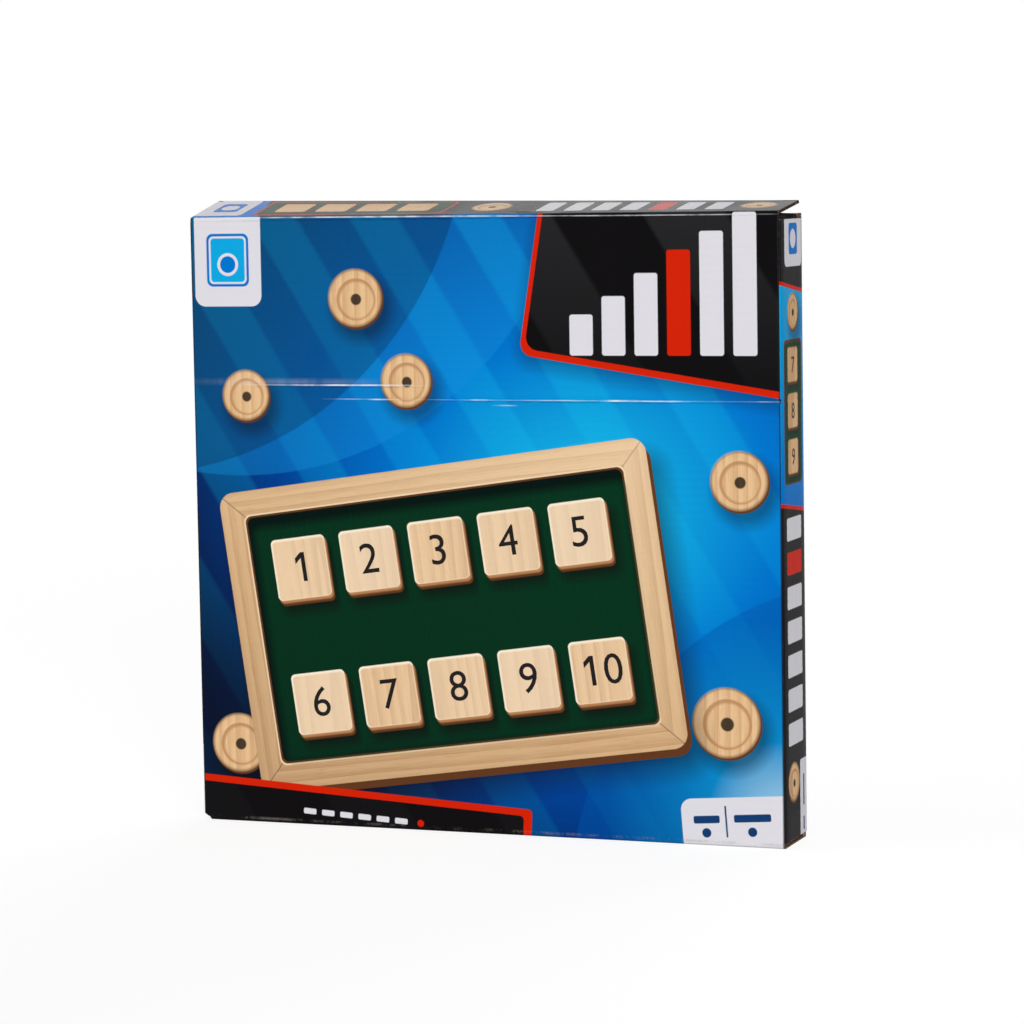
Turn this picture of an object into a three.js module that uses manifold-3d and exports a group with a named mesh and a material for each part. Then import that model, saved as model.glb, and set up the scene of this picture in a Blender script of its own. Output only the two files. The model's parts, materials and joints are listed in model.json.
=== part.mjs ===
// A four-player shut the box game, packed in its corrugated carton.
// The carton stands on its closed end with its lid slightly sprung open.
// Inside, the wooden tray stands on edge, with its felt bed towards the front panel.
// Frame: +X to the right, +Y from the front panel to the back panel, +Z up.
// The origin is on the floor under the middle of the carton. Lengths are in millimetres.
import * as THREE from "three";
import { mergeVertices } from "three/addons/utils/BufferGeometryUtils.js";
import { RoundedBoxGeometry } from "three/addons/geometries/RoundedBoxGeometry.js";
import Module from "manifold-3d";

const wasm = await Module();
wasm.setup();

// Driving dimensions of the wooden tray
const trayWidth = 270; // outer side of the square tray
const baseThickness = 3;
const feltThickness = 0.8;
const feltInset = 0.5; // from the rails to the felt's edge
const railThickness = 8;
const railHeight = 14.3; // above the base board
const railChamfer = 0.6;
const rowWidth = 43; // clear width for a row of tiles, from a partition board to the rail
const partitionThickness = 7;
const partitionHeight = 26.8;
const partitionRound = 12; // rounded upper corners of the overhanging ends
const lapGap = 0.3; // round each half-lap joint
const seatGap = 0.3; // under each piece that rests on another

// Driving dimensions of the rods, tiles and dice
const rodRadius = 1.5;
const rodPlay = 0.35; // radial, in the tiles and in the partition boards
const rodReach = 11; // from a partition board's outer face to the rod
const rodHeight = 21.2; // above the felt
const rodEndInset = 0.5; // from the partition's far face to the rod's end
const tilesPerRow = 10;
const tileGap = 0.4;
const tileThickness = 8.5;
const tileTail = 7.5; // from the rod to the tile's inner end
const tileInset = 0.5; // from the tray's edge to the tile's outer end
const tileBevel = 1.6; // at the tile's outer end
const diceWidth = 16;
const diceRound = 2.6;
const diceSpread = 21; // from the tray's middle to each die, along the lower partition

// Driving dimensions of the carton
const board = 1.5; // E-flute board with its printed liner
const foldGap = 0.3; // between two panels at a fold
const foldRound = 1.2; // outer rounding of a folded edge
const cornerRound = 1.6; // outer rounding of the four upright folds
const innerRound = 0.4;
const trayEndPlay = 3.5; // from the tray to each side panel
const trayTopPlay = 0.4; // from the tray to the folded dust flaps
const lidInset = 0.8; // from the side panels' outer faces to the lid's ends
const tuckDepth = 12;
const tuckCorner = 8;
const slitLength = 7; // slits that free the shoulders of the lid
const slitWidth = 0.8;
const tuckShoulder = 1.5; // from a slit's inner end to the tuck flap
const dustLength = 38;
const dustCorner = 5;
const dustFrontPlay = 0.4;
const dustShoulder = 2.5; // step at the rear of a dust flap, next to its fold
const gluedDustLength = 60;
const seamWidth = 24; // glue tab of the carton's manufacturing seam
const seamInset = 6; // from the tab's ends to the carton's ends
const creaseDrop = 79; // from the lid to the bent crease across the front
const creaseWidth = 3.2;
const creaseDepth = 0.45;
const weld = 0.0005; // merges vertices of one corner
const overrun = 1; // of a cutting solid past the face that it cuts

// Angles in degrees, and counts of facets
const lidSprung = 7.5; // how far the lid has sprung open
const tuckLean = 10.5; // of the tuck flap towards the inside, from square to the lid
const dustTurnShare = 0.5; // of the lid's turn, which each dust flap follows
const dustTaperShare = 0.5; // of the distance from the fold, lost at the front edge
const diceTurns = [0, 28]; // of each die on the lower partition board
const arcFacets = 6;
const rodFacets = 12;
const diceFacets = 2;

// Heights in the tray, above the outer face of its base board
const railBottom = baseThickness + seatGap;
const railTop = railBottom + railHeight;
const feltBottom = baseThickness + seatGap;
const feltTop = feltBottom + feltThickness;
const partitionBottom = feltTop + seatGap;
const partitionTop = partitionBottom + partitionHeight;
const lapHeight = partitionBottom + partitionHeight / 2;
const rodAxisHeight = feltTop + rodHeight;

// Places in the tray, from its middle
const halfTray = trayWidth / 2;
const railInner = halfTray - railThickness;
const wellWidth = 2 * (railInner - rowWidth - partitionThickness);
const partitionPlace = (wellWidth + partitionThickness) / 2;
const partitionOuter = wellWidth / 2 + partitionThickness;
const rodPlace = partitionOuter + rodReach;
const tileReach = halfTray - tileInset - rodPlace;
const tileWidth = (wellWidth - (tilesPerRow + 1) * tileGap) / tilesPerRow;
const tilePitch = tileWidth + tileGap;

// Heights and depths of the carton, which is made to fit the tray
const cartonWidth = trayWidth + 2 * trayEndPlay + 2 * board;
const cartonDepth = partitionTop + 2 * seatGap + 2 * board;
const gluedDustBottom = board + foldGap;
const trayBottom = gluedDustBottom + board + seatGap;
const dustUnderside = trayBottom + trayWidth + trayTopPlay;
const lidUnderside = dustUnderside + board + foldGap;
const cartonHeight = lidUnderside + board;
const frontTop = lidUnderside - foldGap;
const sideTop = dustUnderside - foldGap;
const backTop = lidUnderside;
const halfWidth = cartonWidth / 2;
const halfDepth = cartonDepth / 2;
const backInner = halfDepth - board;
const lidDepth = cartonDepth - board - foldGap;
const lidWidth = cartonWidth - 2 * lidInset;
const tuckStart = foldGap + board * Math.sin(THREE.MathUtils.degToRad(tuckLean));
const tuckSweep = tuckDepth * Math.sin(THREE.MathUtils.degToRad(tuckLean));
const dustRear = backInner - 2 * foldGap - board - tuckSweep;
const dustFront = -halfDepth + board + dustFrontPlay;

// A tile that lies down rests its outer end on the rail
const tileDrop = rodAxisHeight - railTop - seatGap;
const tileLie = THREE.MathUtils.radToDeg(
  Math.asin(tileDrop / Math.hypot(tileReach, tileThickness / 2)) -
    Math.atan2(tileThickness / 2, tileReach),
);

// Materials
const printedBoard = { color: 0x1d6fb0, roughness: 0.35, metalness: 0 };
const kraftBoard = { color: 0x5a4a42, roughness: 0.6, metalness: 0 };
const paleWood = { color: 0xd9b583, roughness: 0.6, metalness: 0 };
const stainedWood = { color: 0x9c6b3c, roughness: 0.5, metalness: 0 };
const plywood = { color: 0xc9a777, roughness: 0.7, metalness: 0 };
const greenFelt = { color: 0x11502f, roughness: 1, metalness: 0 };
const steel = { color: 0xb9bcc0, roughness: 0.3, metalness: 1 };

function named(name, geometry, look) {
  const mesh = new THREE.Mesh(geometry, new THREE.MeshStandardMaterial(look));
  mesh.name = name;
  return mesh;
}

// Turns a closed geometry into a solid that can be joined and cut
function solidOf(geometry) {
  const bare = geometry.index ? geometry.toNonIndexed() : geometry.clone();
  for (const key of Object.keys(bare.attributes)) {
    if (key !== "position") bare.deleteAttribute(key);
  }
  const merged = mergeVertices(bare, weld);
  return new wasm.Manifold(
    new wasm.Mesh({
      numProp: 3,
      vertProperties: merged.attributes.position.array,
      triVerts: new Uint32Array(merged.index.array),
    }),
  );
}

function geometryOf(solid) {
  const mesh = solid.getMesh();
  const geometry = new THREE.BufferGeometry();
  geometry.setAttribute("position", new THREE.BufferAttribute(mesh.vertProperties, 3));
  geometry.setIndex(new THREE.BufferAttribute(mesh.triVerts, 1));
  geometry.computeVertexNormals();
  return geometry;
}

function block([x0, x1], [y0, y1], [z0, z1]) {
  const geometry = new THREE.BoxGeometry(x1 - x0, y1 - y0, z1 - z0);
  return geometry.translate((x0 + x1) / 2, (y0 + y1) / 2, (z0 + z1) / 2);
}

function extrude(shape, depth) {
  const options = { depth, bevelEnabled: false, curveSegments: arcFacets };
  return new THREE.ExtrudeGeometry(shape, options);
}

function roundedRectangle(width, depth, radius, Kind) {
  const x = width / 2;
  const y = depth / 2;
  const outline = new Kind();
  outline.moveTo(-x + radius, -y);
  outline.lineTo(x - radius, -y);
  outline.absarc(x - radius, -y + radius, radius, -Math.PI / 2, 0, false);
  outline.absarc(x - radius, y - radius, radius, 0, Math.PI / 2, false);
  outline.absarc(-x + radius, y - radius, radius, Math.PI / 2, Math.PI, false);
  outline.absarc(-x + radius, -y + radius, radius, Math.PI, 1.5 * Math.PI, false);
  return outline;
}

// The section of a folded flap: x runs from the fold, y is up, with the fold's outer edge rounded
function flapSection(length) {
  const low = foldGap / 2;
  const high = low + board;
  const section = new THREE.Shape();
  section.moveTo(0, low);
  section.lineTo(length, low);
  section.lineTo(length, high);
  section.lineTo(foldRound, high);
  section.absarc(foldRound, high - foldRound, foldRound, Math.PI / 2, Math.PI, false);
  section.closePath();
  return section;
}

// Carton sleeve: four walls, the glue tab inside and the dust flaps of the glued end
function gluedDustFlap() {
  const flap = new THREE.Shape();
  const taper = (gluedDustLength * dustTaperShare) / 4;
  flap.moveTo(0, -backInner + dustFrontPlay);
  flap.lineTo(gluedDustLength - dustCorner, -backInner + dustFrontPlay + taper);
  flap.lineTo(gluedDustLength, -backInner + dustFrontPlay + taper + dustCorner);
  flap.lineTo(gluedDustLength, backInner - dustFrontPlay - taper - dustCorner);
  flap.lineTo(gluedDustLength - dustCorner, backInner - dustFrontPlay - taper);
  flap.lineTo(0, backInner - dustFrontPlay);
  return extrude(flap, board);
}

function cartonSleeve() {
  const ring = roundedRectangle(cartonWidth, cartonDepth, cornerRound, THREE.Shape);
  const bore = [cartonWidth - 2 * board, cartonDepth - 2 * board];
  ring.holes.push(roundedRectangle(...bore, innerRound, THREE.Path));
  const wall = extrude(ring, backTop - gluedDustBottom).translate(0, 0, gluedDustBottom);
  let sleeve = solidOf(wall);

  const above = backTop + overrun;
  const past = halfWidth + overrun;
  const frontCut = block([-past, past], [-halfDepth - overrun, -backInner], [frontTop, above]);
  sleeve = sleeve.subtract(solidOf(frontCut));
  for (const side of [-1, 1]) {
    const ends = [side * (halfWidth - board - innerRound), side * past].sort((a, b) => a - b);
    const sideCut = block(ends, [-backInner, backInner], [sideTop, above]);
    sleeve = sleeve.subtract(solidOf(sideCut));

    const flap = gluedDustFlap().rotateZ(side > 0 ? Math.PI : 0);
    flap.translate(side * (halfWidth - board / 2), 0, gluedDustBottom);
    sleeve = sleeve.add(solidOf(flap));
  }

  const tabFaces = [-halfWidth + board / 2, -halfWidth + 2 * board];
  const tab = block(tabFaces, [backInner - seamWidth, backInner + board / 2], [
    gluedDustBottom + seamInset,
    sideTop - seamInset,
  ]);
  sleeve = sleeve.add(solidOf(tab));

  const groove = new THREE.Shape();
  groove.moveTo(-overrun, creaseWidth / 2);
  groove.lineTo(-overrun, -creaseWidth / 2);
  groove.lineTo(0, -creaseWidth / 2);
  groove.lineTo(creaseDepth, 0);
  groove.lineTo(0, creaseWidth / 2);
  const crease = extrude(groove, 2 * past).rotateX(Math.PI / 2).rotateZ(Math.PI / 2);
  crease.translate(-past, -halfDepth, cartonHeight - creaseDrop);
  return geometryOf(sleeve.subtract(solidOf(crease)));
}

// Lid panel, in its own frame: the fold lies along X and the panel runs to +Y
function lidPanel() {
  const panel = extrude(flapSection(lidDepth), lidWidth);
  panel.rotateX(Math.PI / 2).rotateZ(Math.PI / 2).translate(-lidWidth / 2, 0, 0);
  let solid = solidOf(panel);
  const slitRear = lidDepth - board;
  for (const side of [-1, 1]) {
    const ends = [side * (lidWidth / 2 - slitLength), side * (lidWidth / 2 + overrun)];
    ends.sort((a, b) => a - b);
    const slit = block(ends, [slitRear - slitWidth, slitRear], [-overrun, board + foldGap + overrun]);
    solid = solid.subtract(solidOf(slit));
  }
  return geometryOf(solid);
}

// Tuck flap, in its own frame: its fold lies along X, the flap hangs to -Z and its outer face is Y = 0
function tuckFlap() {
  const half = lidWidth / 2 - slitLength - tuckShoulder;
  const flap = new THREE.Shape();
  flap.moveTo(half, -tuckStart);
  flap.lineTo(-half, -tuckStart);
  flap.lineTo(-half, -tuckDepth + tuckCorner);
  flap.absarc(-half + tuckCorner, -tuckDepth + tuckCorner, tuckCorner, Math.PI, 1.5 * Math.PI, false);
  flap.absarc(half - tuckCorner, -tuckDepth + tuckCorner, tuckCorner, 1.5 * Math.PI, 2 * Math.PI, false);
  flap.closePath();
  return extrude(flap, board).rotateX(Math.PI / 2);
}

// Dust flap, in its own frame: its fold lies along Y and the flap runs to +X
function dustFlap() {
  const tipFront = dustFront + dustLength * dustTaperShare;
  const round = Math.min(dustCorner, (dustRear - tipFront) / 2);
  const plan = new THREE.Shape();
  plan.moveTo(-overrun, dustFront);
  plan.lineTo(0, dustFront);
  plan.lineTo(dustLength, tipFront);
  plan.lineTo(dustLength, dustRear - round);
  plan.absarc(dustLength - round, dustRear - round, round, 0, Math.PI / 2, false);
  plan.lineTo(2 * dustShoulder, dustRear);
  plan.lineTo(dustShoulder, dustRear - dustShoulder);
  plan.lineTo(-overrun, dustRear - dustShoulder);
  plan.closePath();
  const outline = solidOf(extrude(plan, board + 2 * overrun).translate(0, 0, -overrun));
  const section = extrude(flapSection(dustLength + overrun), cartonDepth);
  section.rotateX(Math.PI / 2).translate(0, halfDepth, 0);
  return geometryOf(outline.intersect(solidOf(section)));
}

// Glued end of the carton: the outer panel under the two glued dust flaps
function gluedPanel() {
  const panel = extrude(flapSection(lidDepth), lidWidth);
  panel.rotateX(Math.PI / 2).rotateZ(Math.PI / 2).translate(-lidWidth / 2, 0, 0);
  return panel.rotateX(Math.PI).rotateZ(Math.PI);
}

// Partition board, in its own frame: X along the board, Y up, extruded through its thickness
function partitionBoard(slotsFromTop) {
  const half = railInner - lapGap;
  const slotLow = slotsFromTop ? lapHeight - lapGap / 2 : partitionBottom;
  const slotHigh = slotsFromTop ? partitionTop : lapHeight + lapGap / 2;
  const slotHalf = partitionThickness / 2 + lapGap;
  const face = new THREE.Shape();
  const slot = (place, fromLeft) => {
    const turn = fromLeft ? 1 : -1;
    const open = slotsFromTop ? slotHigh : slotLow;
    const blind = slotsFromTop ? slotLow : slotHigh;
    face.lineTo(place - turn * slotHalf, open);
    face.lineTo(place - turn * slotHalf, blind);
    face.lineTo(place + turn * slotHalf, blind);
    face.lineTo(place + turn * slotHalf, open);
  };
  face.moveTo(-half, partitionBottom);
  if (!slotsFromTop) {
    slot(-partitionPlace, true);
    slot(partitionPlace, true);
  }
  face.lineTo(half, partitionBottom);
  face.absarc(half - partitionRound, partitionTop - partitionRound, partitionRound, 0, Math.PI / 2, false);
  if (slotsFromTop) {
    slot(partitionPlace, false);
    slot(-partitionPlace, false);
  }
  face.absarc(-half + partitionRound, partitionTop - partitionRound, partitionRound,
    Math.PI / 2, Math.PI, false);
  face.closePath();
  for (const side of [-1, 1]) {
    face.holes.push(roundHole(side * rodPlace, rodAxisHeight, rodRadius + rodPlay));
  }
  return extrude(face, partitionThickness).translate(0, 0, -partitionThickness / 2);
}

// A faceted hole whose flats stay clear of the rod
function roundHole(x, y, radius) {
  const hole = new THREE.Path();
  const reach = radius / Math.cos(Math.PI / rodFacets);
  for (let k = 0; k < rodFacets; k += 1) {
    const turn = (2 * Math.PI * k) / rodFacets;
    const point = [x + reach * Math.cos(turn), y + reach * Math.sin(turn)];
    if (k === 0) hole.moveTo(...point);
    else hole.lineTo(...point);
  }
  hole.closePath();
  return hole;
}

// Tile, in its own frame: the rod is the X axis and the tile runs to +Y
function tile() {
  const half = tileThickness / 2;
  const side = new THREE.Shape();
  side.moveTo(-tileTail + half, -half);
  side.lineTo(tileReach - tileBevel / 2, -half);
  side.lineTo(tileReach, -half + tileBevel / 2);
  side.lineTo(tileReach, half - tileBevel);
  side.lineTo(tileReach - tileBevel, half);
  side.lineTo(-tileTail + half, half);
  side.absarc(-tileTail + half, 0, half, Math.PI / 2, 1.5 * Math.PI, false);
  side.holes.push(roundHole(0, 0, rodRadius + rodPlay));
  const body = extrude(side, tileWidth);
  return body.rotateX(Math.PI / 2).rotateZ(Math.PI / 2).translate(-tileWidth / 2, 0, 0);
}

function railFrame() {
  const square = roundedRectangle(trayWidth, trayWidth, railChamfer, THREE.Shape);
  square.holes.push(roundedRectangle(2 * railInner, 2 * railInner, railChamfer, THREE.Path));
  const frame = new THREE.ExtrudeGeometry(square, {
    depth: railHeight - 2 * railChamfer,
    bevelThickness: railChamfer,
    bevelSize: railChamfer,
    bevelOffset: -railChamfer,
    bevelSegments: 1,
    curveSegments: 1,
  });
  return frame.translate(0, 0, railBottom + railChamfer);
}

// One row of tiles on its rod, in a frame whose +Y points away from the play well.
// Tile 01 is on the left of the player who sits beyond that row's rail.
function tileRow(name, turn, lie) {
  const row = new THREE.Group();
  row.rotation.z = turn;
  const rodLength = 2 * (partitionOuter - rodEndInset);
  const bar = new THREE.CylinderGeometry(rodRadius, rodRadius, rodLength, rodFacets);
  const rod = named(`rod_${name}`, bar.rotateZ(Math.PI / 2), steel);
  rod.position.set(0, rodPlace, rodAxisHeight);
  row.add(rod);
  for (let k = 0; k < tilesPerRow; k += 1) {
    const number = String(k + 1).padStart(2, "0");
    const piece = named(`tile_${name}_${number}`, tile(), paleWood);
    piece.position.set(((tilesPerRow - 1) / 2 - k) * tilePitch, rodPlace, rodAxisHeight);
    piece.rotation.x = -THREE.MathUtils.degToRad(lie);
    row.add(piece);
  }
  return row;
}

// The wooden tray, in its own frame: Z out of its open side, Y up when the carton stands
function tray() {
  const group = new THREE.Group();
  const half = [-halfTray, halfTray];
  group.add(named("base_board", block(half, half, [0, baseThickness]), plywood));
  const bed = [-railInner + feltInset, railInner - feltInset];
  group.add(named("felt_lining", block(bed, bed, [feltBottom, feltTop]), greenFelt));
  group.add(named("rail_frame", railFrame(), stainedWood));

  for (const [name, side] of [["top", 1], ["bottom", -1]]) {
    const piece = named(`partition_${name}`, partitionBoard(true), stainedWood);
    piece.rotation.x = Math.PI / 2;
    piece.position.y = side * partitionPlace;
    group.add(piece);
  }
  for (const [name, side] of [["right", -1], ["left", 1]]) {
    const piece = named(`partition_${name}`, partitionBoard(false), stainedWood);
    piece.rotation.set(Math.PI / 2, Math.PI / 2, 0);
    piece.position.x = side * partitionPlace;
    group.add(piece);
  }

  // The lower row hangs plumb from its rod, and the other rows lie on the rails
  group.add(tileRow("top", 0, tileLie));
  group.add(tileRow("right", Math.PI / 2, tileLie));
  group.add(tileRow("bottom", Math.PI, 0));
  group.add(tileRow("left", 1.5 * Math.PI, tileLie));

  // The loose dice have come to rest on the lower partition board, against the felt
  for (const [k, degrees] of diceTurns.entries()) {
    const cube = new RoundedBoxGeometry(diceWidth, diceWidth, diceWidth, diceFacets, diceRound);
    const die = named(`die_${k + 1}`, cube, paleWood);
    const turn = THREE.MathUtils.degToRad(degrees);
    const reach = (diceWidth / 2) * (Math.cos(turn) + Math.sin(turn));
    const rest = -wellWidth / 2 + seatGap + diceWidth / 2;
    die.position.set((2 * k - 1) * diceSpread, rest, feltTop + seatGap + reach);
    die.rotation.y = turn;
    group.add(die);
  }
  return group;
}

// The carton
const carton = new THREE.Group();
carton.add(named("carton_sleeve", cartonSleeve(), printedBoard));
const bottomPanel = named("glued_end_panel", gluedPanel(), printedBoard);
bottomPanel.position.set(0, -halfDepth, board + foldGap / 2);
carton.add(bottomPanel);

const lid = new THREE.Group();
lid.position.set(0, -halfDepth, lidUnderside - foldGap / 2);
lid.rotation.x = THREE.MathUtils.degToRad(lidSprung);
lid.add(named("lid_panel", lidPanel(), kraftBoard));
const tuck = named("tuck_flap", tuckFlap(), kraftBoard);
tuck.position.set(0, lidDepth, foldGap / 2);
tuck.rotation.x = -THREE.MathUtils.degToRad(tuckLean);
lid.add(tuck);
carton.add(lid);

for (const [name, side] of [["left", -1], ["right", 1]]) {
  const flap = named(`dust_flap_${name}`, dustFlap(), kraftBoard);
  const fold = new THREE.Group();
  fold.position.set(side * halfWidth, 0, dustUnderside - foldGap / 2);
  fold.scale.x = -side;
  flap.rotation.y = -THREE.MathUtils.degToRad(lidSprung * dustTurnShare);
  fold.add(flap);
  carton.add(fold);
}

// The tray stands on edge in the carton, with its open side towards the back panel
const game = tray();
const across = new THREE.Vector3(-1, 0, 0);
const upright = new THREE.Vector3(0, 0, 1);
const outward = new THREE.Vector3(0, 1, 0);
game.setRotationFromMatrix(new THREE.Matrix4().makeBasis(across, upright, outward));
game.position.set(0, -halfDepth + board + seatGap, trayBottom + halfTray);

const shutTheBox = new THREE.Group();
shutTheBox.add(carton, game);
export default shutTheBox;
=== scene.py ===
"""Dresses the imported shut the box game: the printed carton and the wooden tray inside it."""

import json
import math

import bmesh
import bpy
from mathutils import Matrix, Vector


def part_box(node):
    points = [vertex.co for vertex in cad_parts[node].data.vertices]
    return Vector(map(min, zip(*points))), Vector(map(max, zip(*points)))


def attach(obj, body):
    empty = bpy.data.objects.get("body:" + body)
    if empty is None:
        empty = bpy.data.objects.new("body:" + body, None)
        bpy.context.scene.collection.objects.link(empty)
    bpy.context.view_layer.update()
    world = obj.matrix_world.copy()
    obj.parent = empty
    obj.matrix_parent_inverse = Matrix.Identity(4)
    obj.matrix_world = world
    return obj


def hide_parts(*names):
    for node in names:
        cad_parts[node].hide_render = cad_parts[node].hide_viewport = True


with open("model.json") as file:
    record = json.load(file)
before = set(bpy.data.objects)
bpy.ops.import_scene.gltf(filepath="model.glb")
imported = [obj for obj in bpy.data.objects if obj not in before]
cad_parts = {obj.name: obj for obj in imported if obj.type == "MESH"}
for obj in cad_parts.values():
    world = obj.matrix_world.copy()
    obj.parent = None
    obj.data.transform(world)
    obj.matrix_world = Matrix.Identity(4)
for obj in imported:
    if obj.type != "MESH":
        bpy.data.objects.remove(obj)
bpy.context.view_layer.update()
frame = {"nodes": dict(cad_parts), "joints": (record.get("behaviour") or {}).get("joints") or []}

bl_info = {
    "name": "Shut the Box Game",
    "version": (1, 0, 0),
    "blender": (4, 5, 0),
    "location": "3D View > Sidebar > Shut the Box",
    "description": "Dresses the carton and the wooden tray of a shut the box game",
    "category": "Object",
}

MM = 0.001
ORIGIN = (0.0, 0.0, 0.0)
HALF_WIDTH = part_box("carton_sleeve")[1].x
HALF_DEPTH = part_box("carton_sleeve")[1].y
WALL_BOTTOM, WALL_TOP = (corner.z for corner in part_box("carton_sleeve"))
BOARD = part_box("glued_end_panel")[1].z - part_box("glued_end_panel")[0].z
FOLD_GAP = 0.3 * MM
FRONT_TOP = WALL_TOP - FOLD_GAP
SIDE_TOP = WALL_TOP - 2.25 * MM
RAIL_WIDTH = 8 * MM
RAIL_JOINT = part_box("rail_frame")[1].x - RAIL_WIDTH
SLIT_LENGTH, SLIT_WIDTH = 7 * MM, 0.8 * MM
DIE_HALF = 8 * MM
DIE_ROUNDING = 2.6 * MM
PIP_SPACING = 3.6 * MM
DRILL_LIFT = 0.45 * MM
END_HOLLOW = 1.4 * MM
FLUTE_STRIP = 1.15 * MM
FLUTE_PAPER = 0.16 * MM
GLUE_GAP = 0.1 * MM
NUMBER_FROM_ROD = 30 * MM
INK_THICKNESS = 0.03 * MM
FELT_THICKNESS = 0.6 * MM
FELT_TOP = 0.62 * MM
FELT_RIPPLE = 0.06 * MM
INNER_FLAP_REACH = 60.5 * MM
SEAM_TAB_WIDTH = 24 * MM
SEAM_TAB_ENDS = (7.9 * MM, 267.4 * MM)
# The next values are in millimetres and degrees, as the print and the wear of the board are drawn.
CARTON_WIDTH = 280.0
FLUTE_PITCH = 3.6
CRUSH_REACH = 4.2
FRONT_BELLY = 0.55
BACK_BELLY = 0.3
LID_SAG = 0.25
FLAT_BY_FOLD = 2.4
OUTER_SKIN = 0.6
FLARE = 0.6
FLARE_REACH = 6.0
CREASE_FADE = 14.0
INK_LIFT = 0.06
UPPER_CREASE = (201.4, -112.0, -24.0)
LOWER_CREASE = (195.2, -46.0, 150.0)
BOARD_MIDDLE = (-16.0, 97.0)
BOARD_HALF = (104.0, 69.0)
BOARD_TURN = 8.0
SQUARE_PITCH = (34.0, 31.0)
DARK_BLOCK = ((99.0, 255.0), (70.0, 48.5), -9.0)
# Where the tiles of each row point, and the pips of each face in steps of their spacing.
ROWS = {"top": (0, 0, 1), "right": (1, 0, 0), "bottom": (0, 0, -1), "left": (-1, 0, 0)}
PIPS = {
    1: [(0, 0)],
    2: [(-1, -1), (1, 1)],
    3: [(-1, -1), (0, 0), (1, 1)],
    4: [(-1, -1), (1, 1), (-1, 1), (1, -1)],
    5: [(-1, -1), (1, 1), (-1, 1), (1, -1), (0, 0)],
    6: [(-1, -1), (1, 1), (-1, 1), (1, -1), (-1, 0), (1, 0)],
}
# The camera, as the edges of the carton in the picture give it.
PICTURE_WIDTH = 1024
FOCAL_LENGTH_IN_PIXELS = 3591.1
SENSOR_WIDTH = 36
CAMERA_PLACE = (0.57723, -1.50166, 0.29389)
CAMERA_RIGHT = (0.935599, 0.352676, -0.016559)
CAMERA_UP = (-0.017421, 0.092956, 0.995518)
# Light on the object from all round, and the floor's own colour and its glow for the camera.
SKY = 0.3
FLOOR_SHADE = 0.26
FLOOR_GLOW = 0.836


# Sizes and colours that a user would change.


def linear(code):
    """Turns a colour written as red, green and blue from 0 to 255 into a shader colour."""
    shades = [value / 255 for value in code]
    straight = [s / 12.92 if s <= 0.04045 else ((s + 0.055) / 1.055) ** 2.4 for s in shades]
    return (*straight, 1.0)


PALE_WOOD = linear((250, 226, 188))
TAG_BLUE = linear((20, 60, 110))


def length(name, description, default):
    return bpy.props.FloatProperty(
        name=name,
        description=description,
        default=default,
        min=0.0,
        precision=5,
        subtype="DISTANCE",
        unit="LENGTH",
    )


def colour(name, description, code):
    return bpy.props.FloatVectorProperty(
        name=name,
        description=description,
        default=linear(code),
        size=4,
        min=0.0,
        max=1.0,
        subtype="COLOR",
    )


class ShutBoxSizes(bpy.types.PropertyGroup):
    """Sizes of the details that the frame leaves to this dressing."""

    flute_pitch: length("Flute Pitch", "From one flute of the board to the next", FLUTE_PITCH * MM)
    flute_relief: length("Flute Relief", "How far the flutes show through the printed face", 0.028 * MM)
    liner: length("Liner", "Thickness of the board's paper faces", 0.24 * MM)
    fold_radius: length("Fold Radius", "Outer rounding of the upright folds", 1.8 * MM)
    crease_depth: length("Crease Depth", "Depth of the bent crease across the front", 0.3 * MM)
    lid_twist: length("Lid Twist", "How much higher the lid's left rear corner stands", 3.4 * MM)
    crushed_corner: length("Crushed Corner", "How far the lower left corner is pushed in", 2.8 * MM)
    number_height: length("Number Height", "Size of the numbers on the tiles", 10.5 * MM)
    pip_radius: length("Pip Radius", "Radius of the drilled pips on the dice", 1.25 * MM)


class ShutBoxColours(bpy.types.PropertyGroup):
    """Colours of the print, the board, the woods and the felt."""

    bright_blue: colour("Bright Blue", "Lightest part of the printed field", (16, 168, 226))
    blue: colour("Blue", "Middle of the printed field", (0, 118, 206))
    navy: colour("Navy", "Darkest part of the printed field", (6, 18, 44))
    black: colour("Black", "Printed black", (12, 10, 12))
    red: colour("Red", "Printed red", (214, 36, 8))
    white: colour("White", "Unprinted white of the liner", (226, 224, 230))
    tan: colour("Tan", "Printed wood, light", (236, 196, 148))
    brown: colour("Brown", "Printed wood, dark", (186, 132, 86))
    shade: colour("Shade", "Printed shade on wood", (98, 58, 32))
    green: colour("Green", "Printed felt green", (4, 60, 34))
    kraft: colour("Kraft", "Plain brown inside of the board", (158, 122, 86))
    felt: colour("Felt", "Green felt of the play well", (22, 92, 56))


def sizes():
    return bpy.context.scene.shut_box_sizes


def colours():
    return bpy.context.scene.shut_box_colours


# Modelling helpers.


def deselect():
    if bpy.context.object and bpy.context.object.mode != "OBJECT":
        bpy.ops.object.mode_set(mode="OBJECT")
    bpy.ops.object.select_all(action="DESELECT")


def choose(obj):
    deselect()
    obj.select_set(True)
    bpy.context.view_layer.objects.active = obj


def named(name):
    obj = bpy.context.object
    obj.name = name
    obj.data.name = name
    return obj


def block(name, low, high):
    """A block from its lowest to its highest corner, with its place in its mesh."""
    low, high = Vector(low), Vector(high)
    deselect()
    bpy.ops.mesh.primitive_cube_add(size=1, location=(low + high) / 2, scale=high - low)
    bpy.ops.object.transform_apply(location=True, rotation=True, scale=True)
    return named(name)


def edit(obj):
    choose(obj)
    bpy.ops.object.mode_set(mode="EDIT")


def done():
    bpy.ops.object.mode_set(mode="OBJECT")


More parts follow.
